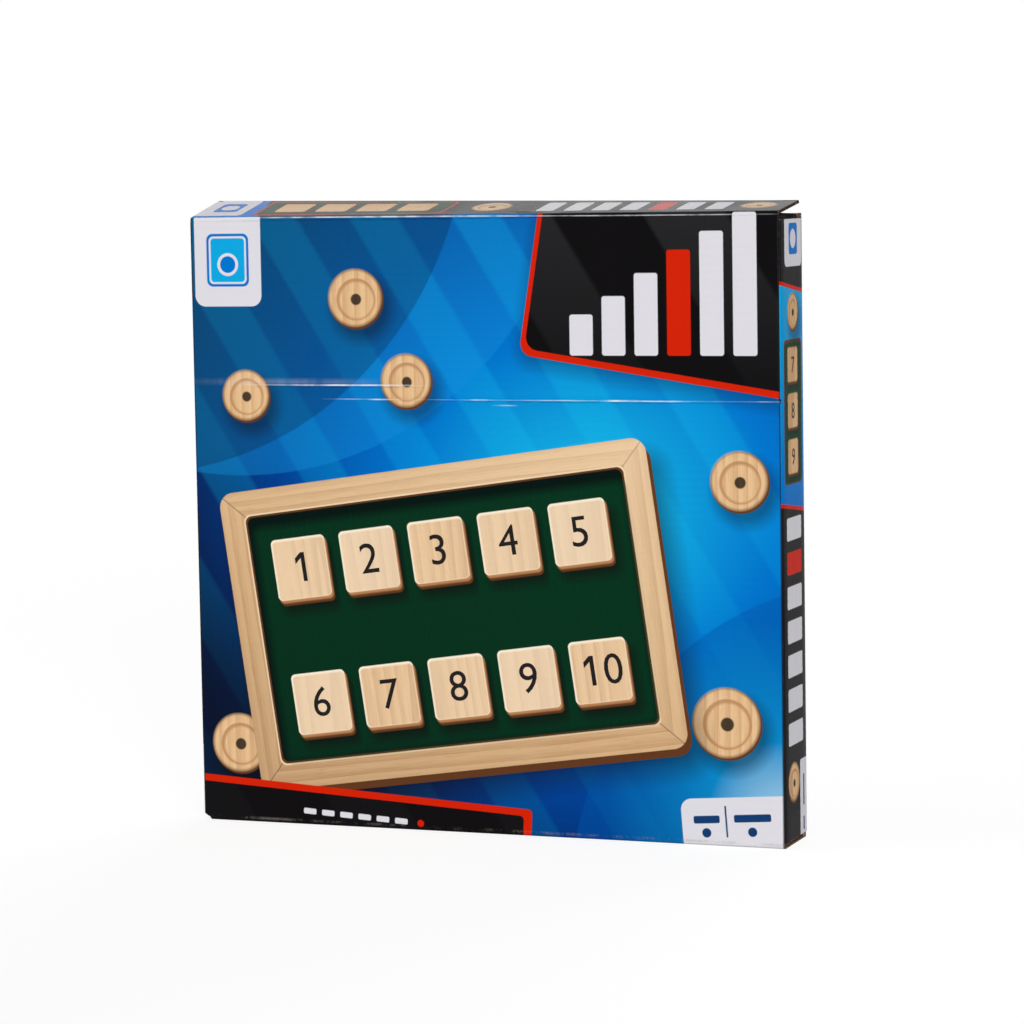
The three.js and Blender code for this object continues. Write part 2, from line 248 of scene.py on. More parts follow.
def pick(obj, kind, test):
    """In edit mode, selects the faces, edges or corners that pass the test, and nothing else."""
    bpy.ops.mesh.select_mode(type=kind)
    bpy.ops.mesh.select_all(action="DESELECT")
    mesh = bmesh.from_edit_mesh(obj.data)
    items = {"FACE": mesh.faces, "EDGE": mesh.edges, "VERT": mesh.verts}[kind]
    for item in items:
        if test(item):
            item.select_set(True)
    mesh.select_flush_mode()
    bmesh.update_edit_mesh(obj.data)


def runs_along(axis):
    """A test for edges that run along X, Y or Z."""

    def test(edge):
        way = (edge.verts[1].co - edge.verts[0].co).normalized()
        return abs(way["XYZ".index(axis)]) > 0.999

    return test


def middle(edge):
    return (edge.verts[0].co + edge.verts[1].co) / 2


def cut(place, normal):
    bpy.ops.mesh.select_all(action="SELECT")
    bpy.ops.mesh.bisect(plane_co=place, plane_no=normal)


def subdivide(obj, test, cuts):
    pick(obj, "EDGE", test)
    bpy.ops.mesh.subdivide(number_cuts=cuts)


def bevel(obj, test, offset, segments):
    pick(obj, "EDGE", test)
    bpy.ops.mesh.bevel(offset=offset, segments=segments, affect="EDGES")


def add_modifier(obj, kind, **settings):
    choose(obj)
    modifier = obj.modifiers.new(kind.title(), kind)
    for name, value in settings.items():
        setattr(modifier, name, value)
    bpy.ops.object.modifier_apply(modifier=modifier.name)


def smooth(obj, degrees=35):
    choose(obj)
    bpy.ops.object.shade_smooth_by_angle(angle=math.radians(degrees))


def put(name, data):
    """Adds a mesh, a camera or a lamp to the scene under this name."""
    data.name = name
    obj = bpy.data.objects.new(name, data)
    bpy.context.scene.collection.objects.link(obj)
    return obj


def joined(parts, name):
    deselect()
    for part in parts:
        part.select_set(True)
    bpy.context.view_layer.objects.active = parts[0]
    bpy.ops.object.join()
    return named(name)


def copy_of(node, name):
    """A merged copy of a CAD node's mesh, as a new piece."""
    obj = put(name, frame["nodes"][node].data.copy())
    obj.data.materials.clear()
    edit(obj)
    bpy.ops.mesh.select_all(action="SELECT")
    bpy.ops.mesh.remove_doubles(threshold=0.000002)
    bpy.ops.mesh.dissolve_limited(angle_limit=math.radians(0.5))
    done()
    if obj.data.attributes.get("sharp_edge"):
        obj.data.attributes.remove(obj.data.attributes["sharp_edge"])
    return obj


def turned(obj, place, axis, degrees):
    spot = Matrix.Translation(Vector(place))
    obj.data.transform(spot @ Matrix.Rotation(math.radians(degrees), 4, axis) @ spot.inverted())


def facing(right, up, place):
    """A matrix whose X looks right, Y up and Z out of the face."""
    right, up = Vector(right).normalized(), Vector(up).normalized()
    axes = Matrix((right, up, right.cross(up))).transposed()
    return Matrix.Translation(Vector(place)) @ axes.to_4x4()


def dress(obj, body, materials, replaces=()):
    """Gives a piece its materials, the CAD body it rides on and the nodes it replaces."""
    for material in materials:
        obj.data.materials.append(material)
    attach(obj, body)
    if replaces:
        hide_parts(*replaces)


# Node helpers.


class Value:
    """A number, vector or colour on its way between nodes. Arithmetic on it adds the nodes for it."""

    def __init__(self, bench, socket):
        self.bench, self.socket = bench, socket

    def work(self, operation, *values):
        add = self.bench.vector if self.socket.type == "VECTOR" else self.bench.math
        return add(operation, *values)

    def __add__(self, other):
        return self.work("ADD", self, other)

    def __sub__(self, other):
        return self.work("SUBTRACT", self, other)

    def __rsub__(self, other):
        return self.work("SUBTRACT", other, self)

    def __mul__(self, other):
        return self.work("MULTIPLY", self, other)

    def __truediv__(self, other):
        return self.work("DIVIDE", self, other)

    def __abs__(self):
        return self.work("ABSOLUTE", self)


class Bench:
    """Adds and joins the nodes of one material or node group."""

    def __init__(self, tree):
        self.tree = tree

    def feed(self, socket, value):
        """Joins a value to a socket, or sets the socket to a constant."""
        source = getattr(value, "socket", value)
        if isinstance(source, bpy.types.NodeSocket):
            self.tree.links.new(source, socket)
        else:
            socket.default_value = value

    def add(self, kind, fed=(), **settings):
        """Adds a node with its settings, and feeds its inputs by their names or places."""
        node = self.tree.nodes.new(kind)
        for name, value in settings.items():
            setattr(node, name, value)
        for label, value in dict(fed).items():
            self.feed(node.inputs[label], value)
        return node

    def out(self, kind, fed, output=0, **settings):
        return Value(self, self.add(kind, fed, **settings).outputs[output])

    def math(self, operation, *values, clamp=False):
        return self.out("ShaderNodeMath", enumerate(values), operation=operation, use_clamp=clamp)

    def vector(self, operation, *values):
        output = "Value" if operation == "LENGTH" else "Vector"
        return self.out("ShaderNodeVectorMath", enumerate(values), output, operation=operation)

    def scaled(self, vector, amount):
        return self.out("ShaderNodeVectorMath", {0: vector, "Scale": amount}, operation="SCALE")

    def turn(self, vector, angle):
        fed = {"Vector": vector, "Angle": angle}
        return self.out("ShaderNodeVectorRotate", fed, rotation_type="Z_AXIS")

    def point(self, x, y, z=0.0):
        return self.out("ShaderNodeCombineXYZ", enumerate((x, y, z)))

    def split(self, vector):
        return [Value(self, part) for part in self.add("ShaderNodeSeparateXYZ", {0: vector}).outputs]

    def mix(self, share, below, above, way="MIX"):
        fed = {0: share, 6: below, 7: above}
        return self.out("ShaderNodeMix", fed, 2, data_type="RGBA", blend_type=way)

    def spread(self, value, low, high, bottom=0.0, top=1.0):
        """Maps a value from one range to another and holds it there."""
        fed = {"Value": value, "From Min": low, "From Max": high, "To Min": bottom, "To Max": top}
        return self.out("ShaderNodeMapRange", fed)

    def ramp(self, share, stops):
        node = self.add("ShaderNodeValToRGB", {0: share})
        elements = node.color_ramp.elements
        while len(elements) < len(stops):
            elements.new(0.5)
        for element, (place, shade) in zip(elements, stops):
            element.position = place
            element.color = shade
        return Value(self, node.outputs[0])

    def noise(self, vector, scale, detail=2.0, roughness=0.5):
        fed = {"Vector": vector, "Scale": scale, "Detail": detail, "Roughness": roughness}
        return self.out("ShaderNodeTexNoise", fed, "Fac")

    def stretched(self, vector, scale, location=ORIGIN, rotation=ORIGIN):
        fed = {"Vector": vector, "Scale": scale, "Location": location, "Rotation": rotation}
        return self.out("ShaderNodeMapping", fed)

    def group(self, tree, **values):
        """Places a node group, and returns its outputs by name."""
        fed = {label.replace("_", " "): value for label, value in values.items()}
        node = self.add("ShaderNodeGroup", fed, node_tree=tree)
        return {socket.name: Value(self, socket) for socket in node.outputs}

    def place(self):
        return self.out("ShaderNodeTexCoord", (), "Object")

    def spot(self):
        """Object coordinates, and each of them in millimetres."""
        place = self.place()
        return place, *self.split(self.scaled(place, 1000))


def node_group(inputs, outputs):
    """Turns a function that works out a group's outputs into one that returns the group, built once.

    The inputs are given with their defaults, the outputs with their kinds.
    """

    def wrap(work):
        name = work.__name__.replace("_", " ")

        def fetch():
            if name in bpy.data.node_groups:
                return bpy.data.node_groups[name]
            tree = bpy.data.node_groups.new(name, "ShaderNodeTree")
            for label, default in inputs.items():
                kind = "Float" if isinstance(default, float) else "Vector" if len(default) == 3 else "Color"
                socket = tree.interface.new_socket(label, in_out="INPUT", socket_type="NodeSocket" + kind)
                socket.default_value = default
            for label, kind in outputs.items():
                tree.interface.new_socket(label, in_out="OUTPUT", socket_type="NodeSocket" + kind)
            bench = Bench(tree)
            entry = bench.add("NodeGroupInput").outputs
            given = {label: Value(bench, entry[label]) for label in inputs}
            bench.add("NodeGroupOutput", work(bench, given))
            return tree

        return fetch

    return wrap


def made_once(make):
    """Turns a function that makes a material into one that makes it only if it isn't there yet."""

    def fetch(name, *details):
        return bpy.data.materials.get(name) or make(name, *details)

    return fetch


def new_material(name, **constants):
    """A material whose shader has these constants, with its bench and the shader's inputs."""
    material = bpy.data.materials.new(name)
    material.use_nodes = True
    inputs = material.node_tree.nodes["Principled BSDF"].inputs
    for label, value in constants.items():
        inputs[label.replace("_", " ")].default_value = value
    return material, Bench(material.node_tree), inputs


def raise_surface(bench, inputs, height, distance, strength):
    fed = {"Height": height, "Distance": distance, "Strength": strength}
    bench.feed(inputs["Normal"], bench.out("ShaderNodeBump", fed))


# Node groups shared by several materials.


@node_group(
    {
        "Place": ORIGIN,
        "Middle": ORIGIN,
        "Half Size": (10.0, 10.0, 1.0),
        "Corner": 2.0,
        "Turn": 0.0,
        "Softness": 0.25,
    },
    {"Mask": "Float"},
)
def patch_mask(bench, given):
    """Mask of a rounded rectangle, or of a disc where its corner is as large as its sides. Millimetres."""
    straight = given["Half Size"] - given["Corner"]
    turned_place = bench.turn(given["Place"] - given["Middle"], given["Turn"] * -1.0)
    outer = bench.vector("MAXIMUM", abs(turned_place) - straight, ORIGIN)
    reach = bench.vector("LENGTH", outer * (1.0, 1.0, 0.0))
    share = (reach - given["Corner"]) / given["Softness"]
    return {"Mask": bench.math("SUBTRACT", 0.5, share, clamp=True)}


@node_group({"Place": ORIGIN, "Distance": 0.0, "Reach": 1.0, "Amount": 0.5}, {"Mask": "Float"})
def fold_wear(bench, given):
    """Rubbed print near a fold or an edge, from the distance to it in millimetres."""
    near = bench.math("SUBTRACT", 1.0, given["Distance"] / given["Reach"], clamp=True)
    coarse = bench.noise(given["Place"], 90.0, 3.0)
    fine = bench.noise(given["Place"], 900.0)
    patchy = bench.spread(coarse * 0.7 + fine * 0.3, 0.48, 0.62)
    return {"Mask": near * patchy * given["Amount"]}


def flute_wave(bench, flutes):
    """The wave of the flutes under the paper, from millimetres across them."""
    return bench.math("SINE", flutes * (2 * math.pi / FLUTE_PITCH))


@node_group(
    {"Place": ORIGIN, "Flutes": 0.0, "Paper": (0.3, 0.2, 0.12, 1.0)},
    {"Color": "Color", "Height": "Float"},
)
def paper_fibre(bench, given):
    """Fibres and flecks of brown liner paper, with the flutes showing faintly through."""
    fibre = bench.noise(bench.stretched(given["Place"], (1.0, 1.0, 0.25)), 1400.0, 4.0, 0.6)
    fleck = bench.spread(bench.noise(given["Place"], 2600.0), 0.66, 0.74)
    cloud = bench.noise(given["Place"], 60.0, 3.0)
    wave = flute_wave(bench, given["Flutes"])
    shade = bench.spread(cloud, 0.3, 0.7, 0.9, 1.06) + bench.spread(fibre, 0.3, 0.7, -0.07, 0.07)
    shade = shade + wave * 0.035 - fleck * 0.22
    return {"Color": bench.scaled(given["Paper"], shade), "Height": wave * 0.5 + fibre * 0.3}


@node_group(
    {
        "Place": ORIGIN,
        "Light": (0.7, 0.5, 0.3, 1.0),
        "Dark": (0.4, 0.25, 0.1, 1.0),
        "Ring Contrast": 0.5,
    },
    {"Color": "Color", "Roughness": "Float", "Height": "Float"},
)
def wood_grain(bench, given):
    """Rings, fibres and pores of planed wood. Its grain runs along the place's Z."""
    long = bench.stretched(given["Place"], (1.0, 1.0, 0.07))
    bend = bench.noise(long, 38.0)
    wavy = {
        "Vector": long + bench.point(bend * 0.012, bend * 0.02),
        "Scale": 62.0,
        "Distortion": 2.2,
        "Detail": 2.0,
        "Detail Scale": 1.6,
    }
    way = {"wave_type": "RINGS", "rings_direction": "Z", "wave_profile": "SAW"}
    rings = bench.out("ShaderNodeTexWave", wavy, "Fac", **way)
    fibre = bench.noise(bench.stretched(given["Place"], (1.0, 1.0, 0.03)), 1500.0, 3.0, 0.65)
    cloud = bench.noise(long, 60.0)
    fine = bench.noise(bench.stretched(given["Place"], (1.0, 1.0, 0.05)), 2600.0, 1.0)
    pore = bench.spread(fine, 0.64, 0.76)
    share = bench.spread(rings, 0.25, 1.0) * given["Ring Contrast"]
    share = share + bench.spread(fibre, 0.35, 0.7, -0.12, 0.16)
    share = bench.math("ADD", share, bench.spread(cloud, 0.3, 0.7, -0.1, 0.14), clamp=True)
    base = bench.mix(share, given["Light"], given["Dark"])
    return {
        "Color": bench.mix(pore * 0.35, base, given["Dark"]),
        "Roughness": bench.spread(share, 0.0, 1.0, 0.42, 0.6),
        "Height": fibre * 0.6 - pore * 0.5,
    }


@node_group({"Place": ORIGIN, "Flutes": 0.0}, {"Roughness": "Float", "Height": "Float"})
def film_gloss(bench, given):
    """Fine waviness and small scratches of the laminated film over the print."""
    ripple = bench.noise(given["Place"], 420.0, 3.0, 0.6)
    smear = bench.noise(bench.stretched(given["Place"], (1.0, 1.0, 0.2)), 30.0, 4.0, 0.6)
    slanted = bench.stretched(given["Place"], (30.0, 30.0, 900.0), rotation=(0.2, 0.35, 0.1))
    scratch = bench.spread(bench.noise(slanted, 1.0), 0.7, 0.72)
    wave = flute_wave(bench, given["Flutes"])
    return {
        "Roughness": bench.spread(smear, 0.3, 0.7, 0.2, 0.34) + scratch * 0.15,
        "Height": ripple * 0.35 + wave * 0.16,
    }


# The print.


def patch(bench, spot, middle, half, corner=2.0, turn=0.0, soft=0.3):
    place = {"Place": spot, "Middle": (*middle, 0.0), "Half_Size": (*half, 1.0)}
    shape = {"Corner": corner, "Turn": math.radians(turn), "Softness": soft}
    return bench.group(patch_mask(), **place, **shape)["Mask"]


def lay(bench, spot, ground, motifs):
    """Prints motifs over a ground, the first one lowest.

    Each motif is its ink, middle and half size in millimetres, corner, turn in degrees, softness
    and strength.
    """
    for ink, middle, half, corner, turn, soft, strength in motifs:
        mask = patch(bench, spot, middle, half, corner, turn, soft)
        if strength < 1:
            mask = mask * strength
        ground = bench.mix(mask, ground, ink)
    return ground


def box(ink, middle, half, corner=1.5, turn=0.0, soft=0.3, strength=1.0):
    return ink, middle, half, corner, turn, soft, strength


def disc(ink, middle, radius, soft=0.3, strength=1.0):
    return ink, middle, (radius, radius), radius, 0.0, soft, strength


def printed_counter(tan, middle, radius):
    """A round wooden counter with a turned ring and a dark middle, and the shade under it."""
    c = colours()
    x, z = middle
    return [
        disc(c.black, (x + 2.6, z - 4.0), radius + 1.5, 7.0, 0.55),
        disc(c.shade, middle, radius),
        disc(tan, (x - 0.5, z + 0.7), radius - 0.9, 1.8),
        disc(PALE_WOOD, (x - 0.2 * radius, z + 0.25 * radius), radius * 0.32, radius * 0.6, 0.5),
        disc(c.brown, middle, radius * 0.7, 0.6, 0.8),
        disc(tan, (x + 0.3, z - 0.4), radius * 0.61, 1.2),
        disc(c.black, middle, radius * 0.19, 0.6, 0.92),
    ]


def printed_wood(bench, x, y, z):
    """Wood of the printed motifs, with its grain along the last of three lengths in millimetres."""
    c = colours()
    metres = bench.scaled(bench.point(x, y, z), MM)
    return bench.group(wood_grain(), Place=metres, Light=c.tan, Dark=c.brown, Ring_Contrast=0.4)["Color"]


def dark_ground(bench, place, cloud, detail=1.0, strength=0.03):
    """Printed black, a little uneven."""
    c = colours()
    return bench.mix(bench.noise(place, cloud, detail) * strength, c.black, c.white)


def bars(spots, halves, red_at):
    """A row of white bars, one of them red."""
    c = colours()
    inks = [c.red if k == red_at else c.white for k in range(len(spots))]
    return [box(ink, spot, half, 1.2) for ink, spot, half in zip(inks, spots, halves)]


def printed_square(tan, middle, half):
    """A numbered wooden square as the narrow panels show it."""
    c = colours()
    x, z = middle
    return [
        box(c.black, (x + 0.8, z - 1.4), (half + 0.4, half + 0.4), 2, 0, 3.0, 0.6),
        box(c.shade, middle, (half, half), 2),
        box(tan, (x - 0.3, z + 0.5), (half - 0.7, half - 0.7), 1.7, 0, 0.7),
    ]


def printed_board_game(bench, field, spot):
    """The front's main motif: a framed green board with two rows of wooden squares."""
    c = colours()
    here = bench.turn(spot - (*BOARD_MIDDLE, 0.0), math.radians(-BOARD_TURN))
    along, over, _ = bench.split(here)
    wide, tall = BOARD_HALF

    flat_rail = printed_wood(bench, over, 3.0, along)
    upright_rail = printed_wood(bench, along, 40.0, over)
    corner = abs(along) - abs(over)
    mitre = corner - (wide - tall)
    rails = bench.mix(bench.math("GREATER_THAN", mitre, 0.0), flat_rail, upright_rail)
    line = bench.spread(abs(mitre), 0.15, 0.6, 0.6, 0.0)
    rails = bench.mix(line, rails, c.shade)
    glow = along * 0.6 + over
    rails = bench.mix(bench.spread(glow, -120.0, 130.0, 0.3, 0.0), rails, c.shade)
    rails = bench.mix(bench.spread(glow, -20.0, 130.0, 0.0, 0.3), rails, linear((252, 232, 200)))

    felt = bench.mix(bench.noise(bench.point(along, over), 0.9, 3.0, 0.7), linear((3, 42, 25)), c.green)
    felt = bench.mix(bench.spread(glow, -120.0, 120.0, 0.35, 0.0), felt, linear((3, 26, 20)))
    field = lay(bench, here, field, [
        box(c.black, (5, -9), (wide + 1, tall + 1), 9, 0, 14, 0.7),
        box(c.shade, (1.6, -3.4), (wide, tall), 7),
        box(rails, (0, 0), (wide, tall), 7),
        box(PALE_WOOD, (0, 0), (wide - 11, tall - 11), 3.5, 0, 0.5, 0.8),
        box(c.shade, (0, 0), (wide - 11.7, tall - 11.7), 3.2),
        box(linear((2, 20, 15)), (0, 0), (wide - 12.6, tall - 12.6), 3, 0, 0.4),
        box(felt, (1.4, -2.6), (wide - 14.0, tall - 15.4), 3, 0, 4.5),
    ])

    column = bench.math("ROUND", along / SQUARE_PITCH[0])
    column = bench.math("MINIMUM", bench.math("MAXIMUM", column, -2.0), 2.0)
    side = along - column * SQUARE_PITCH[0]
    row = bench.math("SIGN", over)
    rise = over - row * SQUARE_PITCH[1]
    index = column * 31.0 + row * 83.0
    square_wood = printed_wood(bench, side + index, index, rise)
    tint = bench.math("FRACT", (index + 300.0) * 0.173)
    face = bench.mix(bench.spread(tint, 0.0, 1.0, 0.1, 0.6), square_wood, linear((248, 228, 200)))
    return lay(bench, bench.point(side, rise), field, [
        box(c.black, (3.0, -5.4), (14.0, 14.6), 4, 0, 7.0, 0.8),
        box(c.shade, (1.3, -2.6), (13.4, 14.0), 2.2, 0, 0.5),
        box(c.brown, (0.7, -1.3), (13.4, 14.0), 2.2, 0, 0.9),
        box(linear((253, 238, 214)), (0, 0), (13.4, 14.0), 2.2),
        box(face, (0.3, -0.5), (12.9, 13.4), 1.8, 0, 0.9),
    ])


def glint(bench, spot, x, level, ends, width, strength, turn=0.0, soft=0.35):
    """A streak along a crease or fold that fades towards both ends: the mask of a painted highlight or a
    painted shade line.
    """
    middle, half = (ends[0] + ends[1]) / 2, (ends[1] - ends[0]) / 2
    mask = patch(bench, spot, (middle, level), (half, width), width, turn, soft)
    way = (x - middle) / half
    fade = bench.math("SUBTRACT", 1.0, way * way, clamp=True)
    uneven = bench.spread(bench.noise(bench.point(x, level), 0.16, 2.0), 0.35, 0.6, 0.35, 1.0)
    return mask * (fade * uneven * strength)


def front_print(bench, place, x, z):
    """Blue field with a numbered wooden board, counters, a dark block with bars and a painted sheen, and
    blank tags, with painted shade and highlights along the creases.
    """
    c = colours()
    spot = bench.point(x, z)
    tan = printed_wood(bench, x, 9.0, z)
    away = (spot - (52.0, 150.0, 0.0)) * (1.0, 1.15, 1.0)
    field = bench.ramp(
        bench.spread(bench.vector("LENGTH", away), 0.0, 240.0),
        [
            (0.0, linear((188, 230, 246))),
            (0.13, tuple(c.bright_blue)),
            (0.36, tuple(c.blue)),
            (0.62, linear((0, 66, 150))),
            (0.9, tuple(c.navy)),
        ],
    )
    slope = x * 0.85 + z * 0.53
    band = bench.math("PINGPONG", slope, 21.0)
    stripes = bench.spread(band, 10.0, 12.0) * bench.spread(z, 80.0, 277.0, 0.08, 0.28)
    field = bench.mix(stripes, field, c.bright_blue, "SCREEN")
    field = lay(bench, spot, field, [
        disc(linear((20, 146, 224)), (-118, 330), 170, 0.6, 0.34),
        disc(c.navy, (-172, 330), 170, 0.6, 0.4),
        disc(c.navy, (-130, 12), 100, 120, 0.85),
        disc(linear((0, 84, 168)), (190, -30), 150, 0.8, 0.45),
        disc(c.bright_blue, (132, 26), 44, 60, 0.6),
        disc(linear((190, 232, 248)), (138, 14), 18, 30, 0.6),
    ])
    motifs = []
    for x_place, z_place, radius in (
        (-58, 240, 13.5),
        (-113, 196, 12.0),
        (-34, 203, 12.5),
        (121, 160, 13.5),
        (114, 54, 16.0),
        (-120, 36, 14.0),
    ):
        motifs += printed_counter(tan, (x_place, z_place), radius)
    field = lay(bench, spot, field, motifs)
    field = printed_board_game(bench, field, spot)

    middle, half, turn = DARK_BLOCK
    # Painted sheen: slanted lighter bands in the dark block, stronger towards the top, a painted reflection
    # of the film.
    painted_sheen = bench.spread(bench.math("PINGPONG", slope + 9.0, 34.0), 17.0, 19.0)
    painted_sheen = painted_sheen * bench.spread(z, 205.0, 277.0, 0.003, 0.02)
    dark = bench.mix(painted_sheen, c.black, c.white)
    rise = [9, 13, 18, 23, 27, 31]
    field = lay(bench, spot, field, [
        box(c.black, (middle[0] - 1, middle[1] - 5), (half[0] + 3, half[1] + 2), 8, turn, 9, 0.5),
        box(c.red, (middle[0] - 2.6, middle[1] - 2.6), half, 6, turn),
        box(dark, middle, half, 6, turn),
        *bars([(49 + 15 * k, 215 + h) for k, h in enumerate(rise)], [(5.4, h) for h in rise], 3),
        box(c.red, (-70, 7.0), (92, 10.4), 2, -3.4),
        box(dark, (-74, 4.0), (92, 10.4), 2, -3.4),
        *[box(c.white, (-86 + 9 * k, 6.3 - 0.5 * k), (3.1, 1.3), 0.7, -3.4) for k in range(6)],
        disc(c.red, (-31.5, 3.2), 1.6),
        box(c.white, (-121, 262), (16.5, 25), 5),
        box(c.blue, (-121, 258), (10.5, 12.0), 3.0),
        box(c.white, (-121, 258), (9.3, 10.8), 2.2),
        box(c.bright_blue, (-121, 258), (8.4, 9.9), 1.6),
        disc(c.white, (-121, 256), 5.2),
        disc(c.blue, (-121, 256), 3.8),
        box(c.white, (119, 6), (26, 16), 5, 4),
        box(TAG_BLUE, (104, 11.5), (6.0, 1.7), 0.8, 4),
        box(TAG_BLUE, (113.0, 11), (0.4, 7), 0.3, 4),
        box(TAG_BLUE, (125, 13), (8.5, 1.7), 0.8, 4),
        disc(TAG_BLUE, (104, 5.6), 2.1),
        disc(TAG_BLUE, (125, 6.9), 2.1),
    ])
    rim = bench.spread(CARTON_WIDTH / 2 - abs(x), 0.9, 1.5, 0.9, 0.0)
    field = bench.mix(rim, field, c.black)
    return creased_print(bench, field, spot, x)


def creased_print(bench, field, spot, x):
    """Paints shade into the print just below the two creases and the top fold, and paints highlights along
    them: mostly painted reflections of the film, in part ink whitened in the crease.
    """
    # Painted shade: a thin dark line just below each crease and below the fold at the top.
    for level, start, end in (UPPER_CREASE, LOWER_CREASE, (276.4, -136.0, 140.0)):
        painted_crease_shade = glint(bench, spot, x, level - 0.8, (start, end), 0.3, 0.45, 0.0, 0.7)
        field = bench.mix(painted_crease_shade, field, colours().navy)
    upper, lower = UPPER_CREASE[0], LOWER_CREASE[0]
    # Painted highlights: bright lines along the creases and the top fold, and a soft painted reflection
    # above the upper crease. In part this is also ink whitened in the crease.
    painted_highlights = [
        (upper + 1.4, -150, -42, 1.0, 0.16, 0.0, 2.2),
        (upper, -122, -20, 0.16, 0.75),
        (upper + 0.1, -92, -30, 0.3, 1.0, 0.25),
        (lower, -76, -34, 0.14, 0.6),
        (lower - 0.1, -54, -41, 0.22, 0.9),
        (lower, -50, 144, 0.12, 0.4),
        (lower, -4, 5, 0.22, 0.7),
        (lower - 2.4, 6, 19, 0.2, 0.55),
        (lower, 22, 52, 0.16, 0.5),
        (lower, 57, 76, 0.34, 1.0),
        (lower - 0.1, 70, 100, 0.2, 0.9),
        (lower, 122, 141, 0.14, 0.5),
        (276.9, -138, 30, 0.2, 1.0, -0.2),
        (276.4, -120, 142, 0.14, 0.8, -0.3),
        (276.0, 40, 142, 0.2, 0.6, -0.1),
    ]
    for level, start, end, width, strength, *rest in painted_highlights:
        mask = glint(bench, spot, x, level, (start, end), width, strength, *rest)
        field = bench.mix(mask, field, linear((236, 240, 246)))
    return field


def edge_print(bench, place, across, up):
    """Dark print of the narrow side panels: bars, counters, a tag and a strip of numbered squares."""
    c = colours()
    spot = bench.point(across, up)
    tan = printed_wood(bench, across, 21.0, up)
    blue = bench.mix(bench.spread(up, 150.0, 246.0), c.blue, c.bright_blue)
    motifs = [
        box(c.red, (0, 196), (30, 48.5), 1, -7),
        box(blue, (0, 196), (30, 46.8), 1, -7),
        box(c.shade, (0, 190), (13.5, 31.5), 3),
        box(c.green, (0.3, 189.6), (12.5, 30.5), 2.5, 0, 0.8),
    ]
    for level in (170, 190, 210):
        motifs += printed_square(tan, (0, level), 8.2)
    motifs += printed_counter(tan, (1, 233), 8.5)
    motifs += bars([(0, 49 + 15.0 * k) for k in range(7)], [(11.0, 5.0)] * 7, 5)
    motifs += printed_counter(tan, (-3, 27), 9.0)
    motifs += [
        box(c.white, (2, 266), (13, 13), 3),
        box(c.blue, (2, 265), (6.4, 6.8), 1.8),
        disc(c.white, (2, 265), 4.2),
        box(c.white, (11.5, 12), (5.5, 24), 1.5),
        box(TAG_BLUE, (11.5, 22), (0.9, 7), 0.5),
        box(TAG_BLUE, (11.5, 7), (0.9, 3), 0.5),
    ]
    return lay(bench, spot, dark_ground(bench, place, 14.0), motifs)


def lid_print(bench, place, x, y):
    """Dark print of the lid: squares and counters on the left, bars on the right."""
    c = colours()
    spot = bench.point(x, y)
    tan = printed_wood(bench, y, 33.0, x)
    motifs = [
        box(c.blue, (-130, 0), (20, 24), 2, 12),
        box(c.white, (-128, 0), (12, 14), 3),
        box(c.blue, (-127, 0), (6.0, 7.5), 2),
        disc(c.white, (-127, 0), 4.2),
        box(c.red, (-64, -1), (46, 12.6), 2),
        box(c.green, (-64, -1), (45, 11.6), 2),
    ]
    for place_x in (-94, -74, -54, -34):
        motifs += printed_square(tan, (place_x, -1), 8.2)
    motifs += printed_counter(tan, (2, -1), 9.5)
    motifs += bars([(30 + 13 * k, -1) for k in range(7)], [(4.2, 10.0)] * 7, 4)
    motifs += printed_counter(tan, (126, -1), 8.5)
    return lay(bench, spot, dark_ground(bench, place, 10.0, 1.0, 0.04), motifs)


def back_print(bench, place, x, z):
    """Blue back panel with a pale bare panel and a row of numbered squares."""
    c = colours()
    spot = bench.point(x, z)
    tan = printed_wood(bench, x, 47.0, z)
    shades = [(0.0, tuple(c.navy)), (0.45, tuple(c.blue)), (1.0, tuple(c.bright_blue))]
    field = bench.ramp(bench.spread(z, 0.0, 277.0), shades)
    slope = x * 0.85 - z * 0.53
    stripes = bench.spread(bench.math("PINGPONG", slope, 24.0), 11.0, 13.0) * 0.14
    field = bench.mix(stripes, field, c.bright_blue, "SCREEN")
    motifs = [
        box(c.red, (0, 262), (150, 27), 1, 2),
        box(c.black, (0, 266), (150, 27), 1, 2),
        box(c.red, (0, 8), (150, 17), 1, -2),
        box(c.black, (0, 5), (150, 17), 1, -2),
        box(c.black, (2, 106), (108, 56), 6, 0, 9, 0.5),
        box(c.white, (0, 110), (106, 54), 5),
        box(c.shade, (0.6, 200.8), (107, 21), 4),
        box(c.green, (0, 202), (106, 20), 4),
    ]
    for k in range(5):
        motifs += printed_square(tan, (-80 + 40 * k, 202), 14)
    for k in range(3):
        left = -66 + 66 * k
        motifs += [
            box(c.shade, (left, 118), (25, 25), 3),
            box(tan, (left - 0.3, 118.4), (24.2, 24.2), 2.5, 0, 0.8),
            box(linear((3, 30, 20)), (left, 118), (14.8, 14.8), 1.5),
            box(c.green, (left + 0.5, 117.2), (14.0, 13.8), 1.5, 0, 1.6),
            disc(tan, (left - 5 + 3 * k, 114 + 2 * k), 3.4),
            disc(tan, (left + 5, 121 - 2 * k), 3.4),
            box(c.blue, (left, 83), (16, 1.6), 0.8),
            box(c.blue, (left - 3, 76), (13, 1.6), 0.8),
        ]
    motifs += bars([(60 + 11 * k, 262) for k in range(6)], [(3.6, 8.5)] * 6, 2)
    return lay(bench, spot, field, motifs)


def end_print(bench, place, x, y):
    """Plain dark print of the lower end, with one blank tag."""
    c = colours()
    return lay(bench, bench.point(x, y), dark_ground(bench, place, 12.0), [
        box(c.red, (0, -1), (132, 12.5)),
        box(c.black, (0, -1), (131, 11.5)),
        box(c.white, (94, -1), (24, 8.5)),
    ])


def flap_print(bench, place, x, y):
    """Bare dark print of the flaps."""
    return dark_ground(bench, place, 16.0, 2.0)


